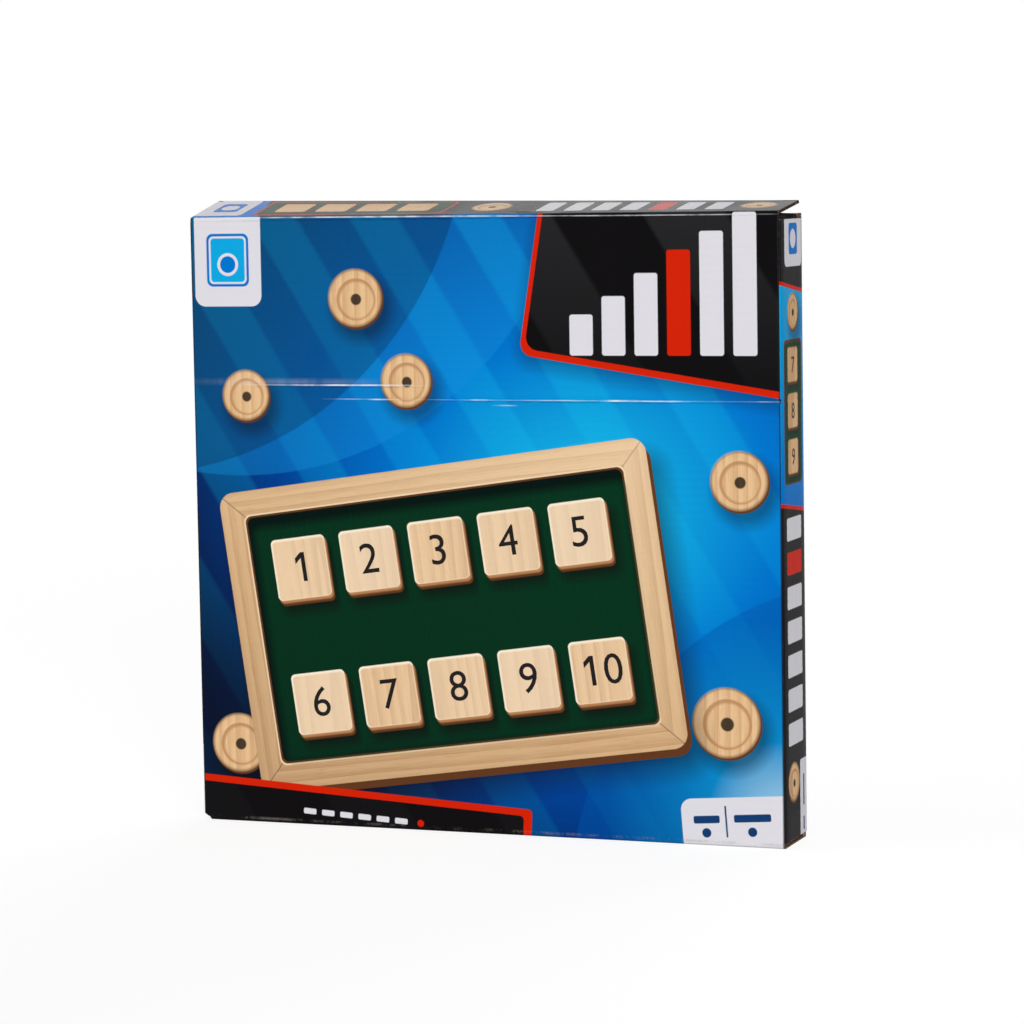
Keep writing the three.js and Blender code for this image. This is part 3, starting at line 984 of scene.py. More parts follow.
@made_once
def film_material(name, picture, axes, folds, gloss_level=0.035):
    """Glossy film over a print, whose two axes are given.

    Each fold is an axis, a distance from zero on both sides or one, a reach and an amount of wear.
    """
    material, bench, inputs = new_material(name, Specular_IOR_Level=gloss_level)
    place, x, y, z = bench.spot()
    ways = {"x": x, "y": y, "z": z, "-x": x * -1.0, "-y": y * -1.0}
    across, up = (ways[label] for label in axes)
    shade = picture(bench, place, across, up)
    worn = None
    for axis, level, both, reach, amount in folds:
        distance = abs((abs(ways[axis]) if both else ways[axis]) - level)
        mask = bench.group(fold_wear(), Place=place, Distance=distance, Reach=reach, Amount=amount)["Mask"]
        worn = bench.math("MAXIMUM", worn, mask) if worn else mask
    gloss = bench.group(film_gloss(), Place=place, Flutes=up)
    bench.feed(inputs["Base Color"], bench.mix(worn, shade, linear((150, 140, 130))))
    bench.feed(inputs["Roughness"], gloss["Roughness"] + worn * 0.3)
    raise_surface(bench, inputs, gloss["Height"], 0.04 * MM, 0.6)
    return material


@made_once
def liner_material(name, axis):
    """Plain brown liner, with the flutes across the given axis."""
    material, bench, inputs = new_material(name, Roughness=0.82, Specular_IOR_Level=0.25)
    place, *ways = bench.spot()
    flutes = ways["xyz".index(axis)]
    paper = bench.group(paper_fibre(), Place=place, Flutes=flutes, Paper=colours().kraft)
    bench.feed(inputs["Base Color"], paper["Color"])
    raise_surface(bench, inputs, paper["Height"], 0.08 * MM, 0.7)
    return material


def kraft(axis):
    return liner_material(f"plain kraft liner {axis}", axis)


@made_once
def edge_material(name):
    """Cut edge of the board: browns darkened as painted shade of the hollow flute ends, darker in patches,
    with pale flecks and torn fibres.
    """
    material, bench, inputs = new_material(name, Roughness=0.9, Specular_IOR_Level=0.15)
    place = bench.place()
    torn = bench.noise(place, 2400.0, 3.0, 0.7)
    cloud = bench.noise(place, 160.0)
    # Both browns are darker than the liner's kraft: painted shade of the hollow flute ends.
    base = bench.mix(bench.spread(torn, 0.3, 0.7), linear((62, 47, 40)), linear((112, 88, 70)))
    base = bench.mix(bench.spread(cloud, 0.4, 0.7, 0.0, 0.5), base, linear((44, 30, 23)))
    fleck = bench.spread(bench.noise(place, 700.0), 0.65, 0.7)
    bench.feed(inputs["Base Color"], bench.mix(fleck * 0.8, base, linear((214, 204, 192))))
    raise_surface(bench, inputs, torn, 0.15 * MM, 0.8)
    return material


def raw_edge():
    return edge_material("raw board edge")


@made_once
def wood_material(name, light, dark, grain, contrast, seed=0.0, rails=False):
    """Planed wood with its grain along x, y or z. On the frame of rails it turns with each rail."""
    material, bench, inputs = new_material(name, Specular_IOR_Level=0.35)
    place, x, _, _ = bench.spot()
    rotations = {"x": (0, math.pi / 2, 0), "y": (math.pi / 2, 0, 0), "z": ORIGIN}

    def grained(way, shift):
        spot = bench.stretched(place, (1, 1, 1), (0.013 + shift, 0.031 + seed, 0.3 * shift), rotations[way])
        return bench.group(wood_grain(), Place=spot, Light=light, Dark=dark, Ring_Contrast=contrast)

    base, rough, height = grained(grain, 0.0).values()
    if rails:
        other = grained("z", 0.043)
        inner = RAIL_JOINT / MM
        upright = bench.math("GREATER_THAN", abs(x), inner)
        line = bench.spread(abs(abs(x) - inner), 0.08, 0.25, 1.0, 0.0)
        base = bench.mix(upright, base, other["Color"])
        base = bench.mix(line * 0.75, base, linear((46, 28, 16)))
        height = height * (1.0 - upright) + other["Height"] * upright - line * 2.0
    bench.feed(inputs["Base Color"], base)
    bench.feed(inputs["Roughness"], rough)
    raise_surface(bench, inputs, height, 0.07 * MM, 0.7)
    return material


@made_once
def ink_material(name, shade):
    """Printed or stamped ink that lies in the fibres below it."""
    material, bench, inputs = new_material(name, Specular_IOR_Level=0.1)
    place = bench.place()
    gap = bench.spread(bench.noise(place, 3200.0), 0.62, 0.75, 0.0, 0.5)
    bench.feed(inputs["Base Color"], bench.mix(gap, shade, linear((96, 78, 58))))
    bench.feed(inputs["Roughness"], bench.spread(bench.noise(place, 900.0), 0.3, 0.7, 0.45, 0.65))
    raise_surface(bench, inputs, bench.noise(place, 2200.0), 0.03 * MM, 0.5)
    return material


@made_once
def felt_material(name):
    """Felt with its nap, its tufts and pale lint."""
    shader = {"Specular_IOR_Level": 0.1, "Sheen_Weight": 0.35, "Sheen_Roughness": 0.6}
    material, bench, inputs = new_material(name, Roughness=0.95, **shader)
    place = bench.place()
    nap = bench.noise(place, 2300.0, 4.0, 0.7)
    tuft = bench.noise(place, 520.0, 3.0, 0.6)
    cloud = bench.noise(place, 40.0, 3.0)
    hairs = bench.noise(bench.stretched(place, (1.0, 1.0, 3.0)), 1100.0, 3.0, 0.6)
    shade = bench.spread(cloud, 0.35, 0.65, 0.92, 1.06)
    for layer, depth in ((nap, 0.26), (tuft, 0.24)):
        shade = shade + bench.spread(layer, 0.3, 0.7, -depth, depth)
    shade = shade + bench.spread(hairs, 0.55, 0.75, 0.0, 0.3)
    bench.feed(inputs["Base Color"], bench.scaled(tuple(colours().felt)[:3], shade))
    raise_surface(bench, inputs, nap * 0.6 + tuft * 0.4, 0.4 * MM, 0.9)
    return material


@made_once
def steel_material(name, scale):
    """Drawn steel, with its lines along the rod and a few dull spots."""
    material, bench, inputs = new_material(name, Metallic=1.0)
    place = bench.place()
    drawn = bench.noise(bench.stretched(place, scale), 1.0, 3.0, 0.6)
    spots = bench.spread(bench.noise(place, 220.0, 3.0), 0.62, 0.8)
    base = bench.mix(bench.spread(drawn, 0.3, 0.7), linear((188, 189, 192)), linear((216, 216, 217)))
    bench.feed(inputs["Base Color"], bench.mix(spots * 0.4, base, linear((120, 112, 104))))
    bench.feed(inputs["Roughness"], bench.spread(drawn, 0.3, 0.7, 0.24, 0.4))
    raise_surface(bench, inputs, drawn, 0.02 * MM, 0.6)
    return material


# Shapes of the worn board.


def arch(x, z):
    """Share of the belly that a wide panel has at a place, from nothing at its edges. Millimetres."""
    return math.cos(math.pi * x * MM / 2 / HALF_WIDTH) * math.sin(math.pi * min(1.0, z * MM / FRONT_TOP))


def held(share):
    """Holds a share between nothing and the whole."""
    return min(1.0, max(0.0, share))


def crease(x, z):
    """Share of its full depth that the bent crease has at a place, in two runs. Millimetres."""
    ripple = 0.75 + 0.25 * math.sin(0.31 * x) * math.sin(0.083 * x + 1.0)
    depth = 0.0
    for level, start, end in (UPPER_CREASE, LOWER_CREASE):
        fade = held((x - start) / CREASE_FADE) * held((end - x) / CREASE_FADE)
        away = z - level
        valley = math.exp(-((away / 0.55) ** 2))
        lip = 0.55 * math.exp(-(((away + 1.5) / 1.1) ** 2)) + 0.25 * math.exp(-(((away - 1.7) / 1.3) ** 2))
        depth += fade * (valley - lip)
    return depth * ripple


def crushed(v):
    """Moves a point inwards where the lower left corner of the front is knocked in. Millimetres."""
    from_side, from_front = v.x + HALF_WIDTH / MM, v.y + HALF_DEPTH / MM
    short = CRUSH_REACH - from_side - 1.5 * max(0.0, v.z - 0.5) - 0.5 * from_front
    push = max(0.0, short) * sizes().crushed_corner / MM / CRUSH_REACH
    return Vector((0.8, 0.25, 0.75)) * push


def worn_board(obj, relief):
    """Moves each point of a piece by the relief, which takes and gives millimetres."""
    for vertex in obj.data.vertices:
        spot = vertex.co / MM
        vertex.co = (spot + relief(spot)) * MM
    obj.data.update()


def flute_strip(name, start, along, side, run, body):
    """The fluted paper seen in a cut edge: a wave that runs along the edge between the liners."""
    count = max(2, round(run / sizes().flute_pitch))
    rise = BOARD - 2.2 * sizes().liner
    deselect()
    bpy.ops.mesh.primitive_grid_add(x_subdivisions=count * 8, y_subdivisions=1, size=1)
    obj = named(name)
    for vertex in obj.data.vertices:
        share = vertex.co.x + 0.5
        wave = 0.5 * rise * math.sin(2 * math.pi * count * share)
        vertex.co = (share * run, (vertex.co.y + 0.5) * FLUTE_STRIP, wave)
    add_modifier(obj, "SOLIDIFY", thickness=FLUTE_PAPER, offset=0.0)
    obj.data.transform(facing(along, (side, 0, 0), start))
    smooth(obj, 60)
    dress(obj, body, [raw_edge()])


def hollow_ends(obj):
    """Sinks the end faces of a board between its liners."""
    edit(obj)
    for side in (-1, 1):
        pick(obj, "FACE", lambda f: f.normal.x * side > 0.95)
        bpy.ops.mesh.inset(thickness=sizes().liner, depth=0.0, use_even_offset=True)
        bpy.ops.mesh.extrude_region_move(TRANSFORM_OT_translate={"value": (-side * END_HOLLOW, 0, 0)})
    done()


def paint_board(obj, outward, front_index=None):
    """Prints a board's outer face, leaves its inner face plain and its edges raw.

    A fold that looks forward takes the front's print, where its place in the materials is given.
    """
    outward = Vector(outward).normalized()
    for polygon in obj.data.polygons:
        share = polygon.normal.dot(outward)
        polygon.material_index = 0 if share > 0.35 else 1 if share < -0.6 else 2
        if front_index is not None and polygon.normal.y < -0.3 and abs(polygon.normal.x) < 0.3:
            polygon.material_index = front_index


def outer_face(mesh, axis, least=0.0):
    """The largest face that looks along X, Y or Z by more than the least share."""
    return max(mesh.polygons, key=lambda p: p.area * (p.normal["XYZ".index(axis)] > least))


def joint(name):
    return next(entry for entry in frame["joints"] if entry["name"] == name)


# Operators, one for each piece or group of like pieces.


class SHUTBOX_OT_carton_walls(bpy.types.Operator):
    """Builds the four printed walls of the carton, with flutes, crease and crushed corner"""

    bl_idname = "shutbox.carton_walls"
    bl_label = "Carton Walls"

    def execute(self, context):
        low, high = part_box("carton_sleeve")
        walls = block("carton_walls", low, (high.x, high.y, FRONT_TOP))
        edit(walls)
        pick(walls, "FACE", lambda f: abs(f.normal.z) > 0.9)
        bpy.ops.mesh.delete(type="FACE")
        bevel(walls, runs_along("Z"), sizes().fold_radius, 5)
        # Columns for the belly and the crease, and four rows to each flute over the height.
        subdivide(walls, lambda e: runs_along("X")(e) and middle(e).y < 0, 43)
        subdivide(walls, lambda e: runs_along("X")(e) and middle(e).y > 0, 9)
        subdivide(walls, runs_along("Y"), 5)
        for cuts in (75, 3):
            subdivide(walls, runs_along("Z"), cuts)
        # Closer rows along the bent crease, and closer columns at the crushed corner.
        for level in (UPPER_CREASE[0], LOWER_CREASE[0]):
            for step in (-0.35, 0.0, 0.35):
                cut((0, 0, (level + step) * MM), (0, 0, 1))
        for inset in (2.6, 3.4, 4.4):
            cut((-HALF_WIDTH + inset * MM, 0, 0), (1, 0, 0))
        # The side walls end under the dust flaps, and the back is a little higher than the front.
        cut((0, 0, SIDE_TOP), (0, 0, 1))
        pick(walls, "FACE", lambda f: abs(f.normal.x) > 0.9 and f.calc_center_median().z > SIDE_TOP)
        bpy.ops.mesh.delete(type="FACE")
        pick(walls, "VERT", lambda v: v.co.y > high.y - 2 * MM and v.co.z > FRONT_TOP - 0.01 * MM)
        bpy.ops.transform.translate(value=(0, 0, high.z - FRONT_TOP))
        done()
        worn_board(walls, self.wear)
        for polygon in walls.data.polygons:
            n = polygon.normal
            if abs(n.y) > abs(n.x):
                polygon.material_index = 1 if n.y < 0 else 3
            else:
                polygon.material_index = 2 if n.x > 0 else 4
        wide = [("x", CARTON_WIDTH / 2, True, 0.7, 0.3), ("z", 1.8, False, 0.9, 0.4)]
        narrow = [("y", 17.4, True, 0.7, 0.3), ("z", 273.5, False, 0.6, 0.4), ("z", 1.8, False, 0.9, 0.4)]
        materials = [
            raw_edge(),
            film_material("printed front", front_print, ("x", "z"), wide),
            film_material("printed right side", edge_print, ("y", "z"), narrow, 0.006),
            film_material("printed back", back_print, ("-x", "z"), wide),
            film_material("printed left side", edge_print, ("-y", "z"), narrow, 0.006),
            kraft("z"),
        ]
        dress(walls, "root", materials, ["carton_sleeve"])
        # The offsets pass the list's ends: inner faces take its last material and rims its first.
        paper = {"material_offset": len(materials), "material_offset_rim": -len(materials)}
        add_modifier(walls, "SOLIDIFY", thickness=BOARD, offset=-1.0, use_even_offset=True, **paper)
        smooth(walls, 50)
        return {"FINISHED"}

    @staticmethod
    def wear(v):
        """Flutes that show through, a slight belly, the crease, the flared end and the crushed corner."""
        half_width, half_depth = HALF_WIDTH / MM, HALF_DEPTH / MM
        wave = sizes().flute_relief / MM * math.cos(2 * math.pi * v.z / (sizes().flute_pitch / MM))
        share = held((half_width - abs(v.x)) / FLAT_BY_FOLD)
        belly = arch(v.x, v.z)
        bend = sizes().crease_depth / MM * crease(v.x, v.z)
        move = Vector((0, 0, 0))
        if v.y < -half_depth + OUTER_SKIN:
            move.y += bend - share * (wave + FRONT_BELLY * belly)
        elif v.y > half_depth - OUTER_SKIN:
            move.y += share * (wave + BACK_BELLY * belly)
        if abs(v.x) > half_width - OUTER_SKIN:
            side = math.copysign(1.0, v.x)
            inner = held((half_depth - abs(v.y)) / FLAT_BY_FOLD)
            move.x += side * inner * (wave - (0.7 * bend if side > 0 else 0.0))
        if v.x > half_width - 1.5 and v.z < WALL_BOTTOM / MM + 0.1:
            move.z += FLARE
        return move + crushed(v)


class SHUTBOX_OT_lid(bpy.types.Operator):
    """Builds the sprung lid with its twist, its rounded fold and the flutes in its cut ends"""

    bl_idname = "shutbox.lid"
    bl_label = "Lid"

    def execute(self, context):
        hinge = Vector(joint("lid_hinge")["pos_m"])
        rest = -joint("lid_hinge")["range_deg"][0]
        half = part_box("lid_panel")[1].x
        under = hinge.z + FOLD_GAP / 2
        depth = 2 * HALF_DEPTH - BOARD - FOLD_GAP
        lid = block("lid_board", (-half, -HALF_DEPTH, under), (half, -HALF_DEPTH + depth, under + BOARD))
        edit(lid)
        bevel(lid, lambda e: runs_along("X")(e) and middle(e).z > under + BOARD / 2, 1.2 * MM, 5)
        subdivide(lid, runs_along("X"), 39)
        subdivide(lid, runs_along("Y"), 35)
        done()
        hollow_ends(lid)
        self.slits(lid, half, -HALF_DEPTH + depth - BOARD, under)
        top = (under + BOARD) / MM

        def wear(v):
            wave = sizes().flute_relief / MM * math.cos(2 * math.pi * v.y / (sizes().flute_pitch / MM))
            share = (v.y + HALF_DEPTH / MM) / (depth / MM)
            sag = LID_SAG * share * math.sin(math.pi * (v.x + half / MM) / (2 * half / MM))
            at_hinge = v.y < -HALF_DEPTH / MM + 0.1
            at_tuck = share > 0.99 and abs(v.x) < (half - SLIT_LENGTH) / MM
            fold = -FOLD_GAP / MM if (at_hinge or at_tuck) and v.z < under / MM + 0.1 else 0.0
            return Vector((0, 0, (wave if v.z > top - 0.3 else 0) + share * self.twist(v.x) + sag + fold))

        worn_board(lid, wear)
        paint_board(lid, (0, 0, 1), 3)
        for polygon in lid.data.polygons:
            if polygon.normal.y > 0.6 and abs(polygon.center.x) < half - SLIT_LENGTH:
                polygon.material_index = 0
        turned(lid, hinge, "X", rest)
        folds = [("x", half / MM, True, 0.7, 0.4), ("y", 15.3, False, 0.7, 0.4)]
        materials = [
            film_material("printed lid", lid_print, ("x", "y"), folds, 0.065),
            kraft("y"),
            raw_edge(),
            bpy.data.materials["printed front"],
        ]
        dress(lid, "lid", materials, ["lid_panel"])
        smooth(lid, 40)
        for side in (-1, 1):
            rise = math.radians(rest) + math.asin(self.twist(side * half / MM) * MM / depth)
            along = Vector((0, math.cos(rise), math.sin(rise)))
            up = Vector((0, -along.z, along.y))
            start = hinge + Vector((side * (half - 1.3 * MM), 0, 0)) + along * MM
            start += up * (FOLD_GAP + BOARD) / 2
            name = "lid_flutes_left" if side < 0 else "lid_flutes_right"
            flute_strip(name, start, along, side, depth - 2 * MM, "lid")
        return {"FINISHED"}

    @staticmethod
    def slits(lid, half, rear, under):
        """Cuts the slit at each end of the lid that locks the tuck flap's shoulder."""
        for side in (-1, 1):
            ends = sorted((side * (half - SLIT_LENGTH), side * (half + MM)))
            low, high = (ends[0], rear - SLIT_WIDTH, under - MM), (ends[1], rear, under + BOARD + MM)
            blade = block("blade", low, high)
            add_modifier(lid, "BOOLEAN", object=blade, operation="DIFFERENCE", solver="EXACT")
            bpy.data.objects.remove(blade)

    @staticmethod
    def twist(x):
        """How much higher the lid's rear edge stands at a place along X. Millimetres."""
        return sizes().lid_twist / MM * max(0.0, 0.5 - x / CARTON_WIDTH) ** 1.3


class SHUTBOX_OT_flaps(bpy.types.Operator):
    """Builds the tuck flap and the two dust flaps with their cut edges"""

    bl_idname = "shutbox.flaps"
    bl_label = "Tuck and Dust Flaps"

    def execute(self, context):
        tuck = copy_of("tuck_flap", "tuck_board")
        fold_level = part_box("tuck_flap")[1].z - 2 * MM
        outward = outer_face(tuck.data, "Y").normal.copy()
        self.sink(tuck, outward, lambda c: c.z < fold_level)
        worn_board(tuck, lambda v: Vector((0, 0, SHUTBOX_OT_lid.twist(v.x))))
        paint_board(tuck, outward)
        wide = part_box("tuck_flap")[1].x / MM
        folds = [("x", wide, True, 0.8, 0.5), ("z", fold_level / MM + 2, False, 0.9, 0.5)]
        tuck_print = film_material("printed tuck", flap_print, ("x", "z"), folds)
        dress(tuck, "tuck", [tuck_print, kraft("z"), raw_edge()], ["tuck_flap"])
        smooth(tuck, 30)

        folds = [("y", -15.5, False, 0.6, 0.15), ("x", CARTON_WIDTH / 2, True, 0.6, 0.1)]
        dust_print = film_material("printed dust flap", flap_print, ("x", "y"), folds, 0.0)
        for word in ("left", "right"):
            node = f"dust_flap_{word}"
            flap = copy_of(node, f"dust_board_{word}")
            outward = outer_face(flap.data, "Z").normal.copy()
            self.sink(flap, outward, lambda c: abs(c.x) < HALF_WIDTH - 3 * MM)
            worn_board(flap, self.closed_fold)
            paint_board(flap, outward)
            for polygon in flap.data.polygons:
                if abs(polygon.center.x) > HALF_WIDTH - 1.5 * MM and abs(polygon.normal.x) > 0.3:
                    polygon.material_index = 0
            dress(flap, f"dust_{word}", [dust_print, kraft("x"), raw_edge()], [node])
            smooth(flap, 30)
        return {"FINISHED"}

    @staticmethod
    def closed_fold(v):
        """Brings a dust flap's fold down onto the side panel."""
        at_fold = abs(v.x) > HALF_WIDTH / MM - 0.2 and v.z < SIDE_TOP / MM + 0.5
        return Vector((0, 0, -FOLD_GAP / MM if at_fold else 0))

    @staticmethod
    def sink(flap, outward, where):
        """Sinks the raw edge between the liners, all round but at the fold."""
        edit(flap)
        pick(flap, "FACE", lambda f: abs(f.normal.dot(outward)) < 0.2 and where(f.calc_center_median()))
        edges = {"use_boundary": True, "use_even_offset": True}
        bpy.ops.mesh.inset(thickness=sizes().liner, depth=-0.7 * MM, **edges)
        done()


class SHUTBOX_OT_glued_end(bpy.types.Operator):
    """Builds the glued lower end: its outer panel, the dust flaps above it and the seam's tab"""

    bl_idname = "shutbox.glued_end"
    bl_label = "Glued End and Seam"

    def execute(self, context):
        low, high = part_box("glued_end_panel")
        panel = block("glued_end_board", low, high)

        def lower_front(edge):
            return runs_along("X")(edge) and middle(edge).y < 0 and middle(edge).z < BOARD / 2

        edit(panel)
        bevel(panel, lower_front, 1.1 * MM, 4)
        subdivide(panel, runs_along("X"), 95)
        subdivide(panel, runs_along("Y"), 12)
        pick(panel, "VERT", lambda v: v.co.y < low.y + 0.1 * MM and v.co.z > high.z - 0.1 * MM)
        bpy.ops.transform.translate(value=(0, 0, FOLD_GAP))
        done()
        hollow_ends(panel)

        def wear(v):
            open_end = max(0.0, v.x - high.x / MM + FLARE_REACH) / FLARE_REACH
            lift = FLARE * open_end if v.z > BOARD / MM - 0.3 else 0.0
            return crushed(v) + Vector((0.4 * open_end, 0, lift))

        worn_board(panel, wear)
        paint_board(panel, (0, 0, -1), 3)
        folds = [("x", high.x / MM, True, 0.8, 0.6), ("y", -17.0, False, 0.8, 0.5)]
        materials = [
            film_material("printed lower end", end_print, ("x", "y"), folds),
            kraft("y"),
            raw_edge(),
            bpy.data.materials["printed front"],
        ]
        dress(panel, "root", materials, ["glued_end_panel"])
        smooth(panel, 40)
        for side, word, front in ((-1, "left", low.y + 6 * MM), (1, "right", low.y + MM)):
            start = Vector((side * (high.x - 1.3 * MM), front, BOARD / 2))
            flute_strip(f"lower_flutes_{word}", start, (0, 1, 0), side, high.y - front - MM, "root")
            self.inner_flap(side, word)
        self.seam_tab()
        return {"FINISHED"}

    @staticmethod
    def inner_flap(side, word):
        """A dust flap of the glued end, as wide as the frame's and cut like its neighbours."""
        bottom = WALL_BOTTOM + 0.05 * MM
        ends = sorted((side * (HALF_WIDTH - INNER_FLAP_REACH), side * (HALF_WIDTH - BOARD - GLUE_GAP)))
        half = HALF_DEPTH - BOARD - 0.5 * MM
        low, high = (ends[0], -half, bottom), (ends[1], half, bottom + 1.4 * MM)
        flap = block(f"glued_dust_flap_{word}", low, high)
        edit(flap)
        bevel(flap, lambda e: runs_along("Z")(e) and abs(middle(e).x) < 100 * MM, 7 * MM, 3)
        fold = HALF_WIDTH - 3 * MM
        bevel(flap, lambda e: not runs_along("Z")(e) and abs(middle(e).x) < fold, 0.2 * MM, 2)
        done()
        dress(flap, "root", [kraft("x")])
        smooth(flap, 40)

    @staticmethod
    def seam_tab():
        """The glue tab inside the left wall, next to the back panel."""
        inner = -HALF_WIDTH + BOARD
        rear = HALF_DEPTH - BOARD
        low = (inner + GLUE_GAP, rear - SEAM_TAB_WIDTH, SEAM_TAB_ENDS[0])
        high = (inner + 1.45 * MM, rear - GLUE_GAP, SEAM_TAB_ENDS[1])
        tab = block("seam_tab", low, high)
        edit(tab)
        bevel(tab, lambda e: runs_along("X")(e) and middle(e).y < 0, 6 * MM, 3)
        bevel(tab, lambda e: not runs_along("X")(e) and middle(e).x > inner + MM, 0.25 * MM, 2)
        done()
        dress(tab, "root", [kraft("z")])
        smooth(tab, 40)


def lettering(words, height, matrix):
    """A number as a thin mesh, in the plane of the matrix's X and Y axes."""
    deselect()
    bpy.ops.object.text_add(location=(0, 0, 0))
    text = bpy.context.object
    text.data.body = words
    text.data.size = height
    text.data.extrude = INK_THICKNESS
    text.data.resolution_u = 4
    text.data.align_x = "CENTER"
    text.data.align_y = "CENTER"
    bpy.ops.object.convert(target="MESH")
    obj = named(f"number_{words}")
    edit(obj)
    bpy.ops.mesh.select_all(action="SELECT")
    bpy.ops.mesh.remove_doubles(threshold=0.000001)
    bpy.ops.mesh.normals_make_consistent(inside=False)
    done()
    if words.startswith("1"):
        flag_one(obj, height)
    obj.data.transform(matrix)
    return obj


def flag_one(obj, height):
    """Draws the flag of the 1, which the font leaves a bare bar, out of the upper left of its stroke."""
    drop, reach = 0.13 * height, 0.15 * height
    edge = min(v.co.x for v in obj.data.vertices) + 0.01 * height
    root = max(v.co.y for v in obj.data.vertices if v.co.x < edge) - drop

    def on_stroke(face):
        spot = face.calc_center_median()
        return face.normal.x < -0.9 and spot.x < edge and spot.y > root

    edit(obj)
    cut((0, root, 0), (0, 1, 0))
    pick(obj, "FACE", on_stroke)
    bpy.ops.mesh.extrude_region_move(TRANSFORM_OT_translate={"value": (-reach, -drop, 0)})
    done()
    obj.data.transform(Matrix.Translation((0.07 * height, 0, 0)))


class SHUTBOX_OT_printed_numbers(bpy.types.Operator):
    """Prints the numbers on the squares of the front, the sides and the back"""

    bl_idname = "shutbox.printed_numbers"
    bl_label = "Printed Numbers"

    def execute(self, context):
        ink = ink_material("printed number ink", linear((24, 20, 22)))
        places = {"front_numbers": self.front, "back_numbers": self.back, "side_numbers": self.sides}
        for name, numbers in places.items():
            dress(joined([lettering(*number) for number in numbers()], name), "root", [ink])
        return {"FINISHED"}

    @staticmethod
    def front():
        turn = math.radians(BOARD_TURN)
        right = Vector((math.cos(turn), 0, math.sin(turn)))
        up = Vector((-math.sin(turn), 0, math.cos(turn)))
        start = Vector((BOARD_MIDDLE[0], 0, BOARD_MIDDLE[1]))
        for k in range(10):
            column, row = k % 5 - 2, 1 if k < 5 else -1
            spot = start + right * column * SQUARE_PITCH[0] + up * (row * SQUARE_PITCH[1] - 0.4)
            spot.y = -HALF_DEPTH / MM - FRONT_BELLY * arch(spot.x, spot.z) - INK_LIFT
            yield str(k + 1), 19.5 * MM, facing(right, up, spot * MM)

    @staticmethod
    def back():
        for k in range(5):
            spot = Vector((80 - 40 * k, 0, 202.0))
            spot.y = HALF_DEPTH / MM + BACK_BELLY * arch(spot.x, spot.z) + INK_LIFT
            yield str(k + 6), 15 * MM, facing((-1, 0, 0), (0, 0, 1), spot * MM)

    @staticmethod
    def sides():
        for side in (-1, 1):
            for k, level in enumerate((210, 190, 170)):
                spot = Vector((side * (HALF_WIDTH / MM + INK_LIFT), 0, level))
                yield str(k + 7), 10 * MM, facing((0, side, 0), (0, 0, 1), spot * MM)


class SHUTBOX_OT_felt(bpy.types.Operator):
    """Lays the green felt in the tray"""

    bl_idname = "shutbox.felt"
    bl_label = "Felt Lining"

    def execute(self, context):
        low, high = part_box("felt_lining")
        deselect()
        bpy.ops.mesh.primitive_grid_add(x_subdivisions=64, y_subdivisions=64, size=1)
        felt = named("felt_sheet")
        wide, tall = high.x - low.x, high.z - low.z
        for vertex in felt.data.vertices:
            x, z = vertex.co.x * wide, vertex.co.y * tall + (low.z + high.z) / 2
            lift = FELT_RIPPLE * math.sin(70 * x + 0.6) * math.sin(55 * z) * math.cos(160 * x * z)
            vertex.co = (x, low.y + FELT_TOP + lift, z)
        felt.data.flip_normals()
        add_modifier(felt, "SOLIDIFY", thickness=FELT_THICKNESS, offset=-1.0)
        edit(felt)
        bpy.ops.mesh.select_all(action="SELECT")
        bpy.ops.mesh.normals_make_consistent(inside=False)
        done()
        dress(felt, "root", [felt_material("green felt")], ["felt_lining"])
        smooth(felt, 60)
        return {"FINISHED"}


class SHUTBOX_OT_tray_woods(bpy.types.Operator):
    """Gives the base board, the rails, the partition boards and the rods their woods and steel"""

    bl_idname = "shutbox.tray_woods"
    bl_label = "Tray Woods and Rods"

    def execute(self, context):
        light, dark = linear((214, 168, 112)), linear((150, 100, 54))
        plywood = wood_material("plywood", linear((206, 172, 126)), linear((168, 128, 84)), "x", 0.3)
        assign("base_board", plywood)
        assign("rail_frame", wood_material("rail pine", light, dark, "x", 0.75, 0.0, True))
        for way, sides, grain, seed, scale in (
            ("across", ("top", "bottom"), "x", 0.02, (90, 3000, 3000)),
            ("upright", ("left", "right"), "z", 0.05, (3000, 3000, 90)),
        ):
            for side in sides:
                pine = wood_material(f"partition pine {way}", light, dark, grain, 0.7, seed)
                assign(f"partition_{side}", pine)
                assign(f"rod_{side}", steel_material(f"drawn steel {way}", scale))
        return {"FINISHED"}


def assign(node, material):
    mesh = frame["nodes"][node].data
    mesh.materials.clear()
    mesh.materials.append(material)


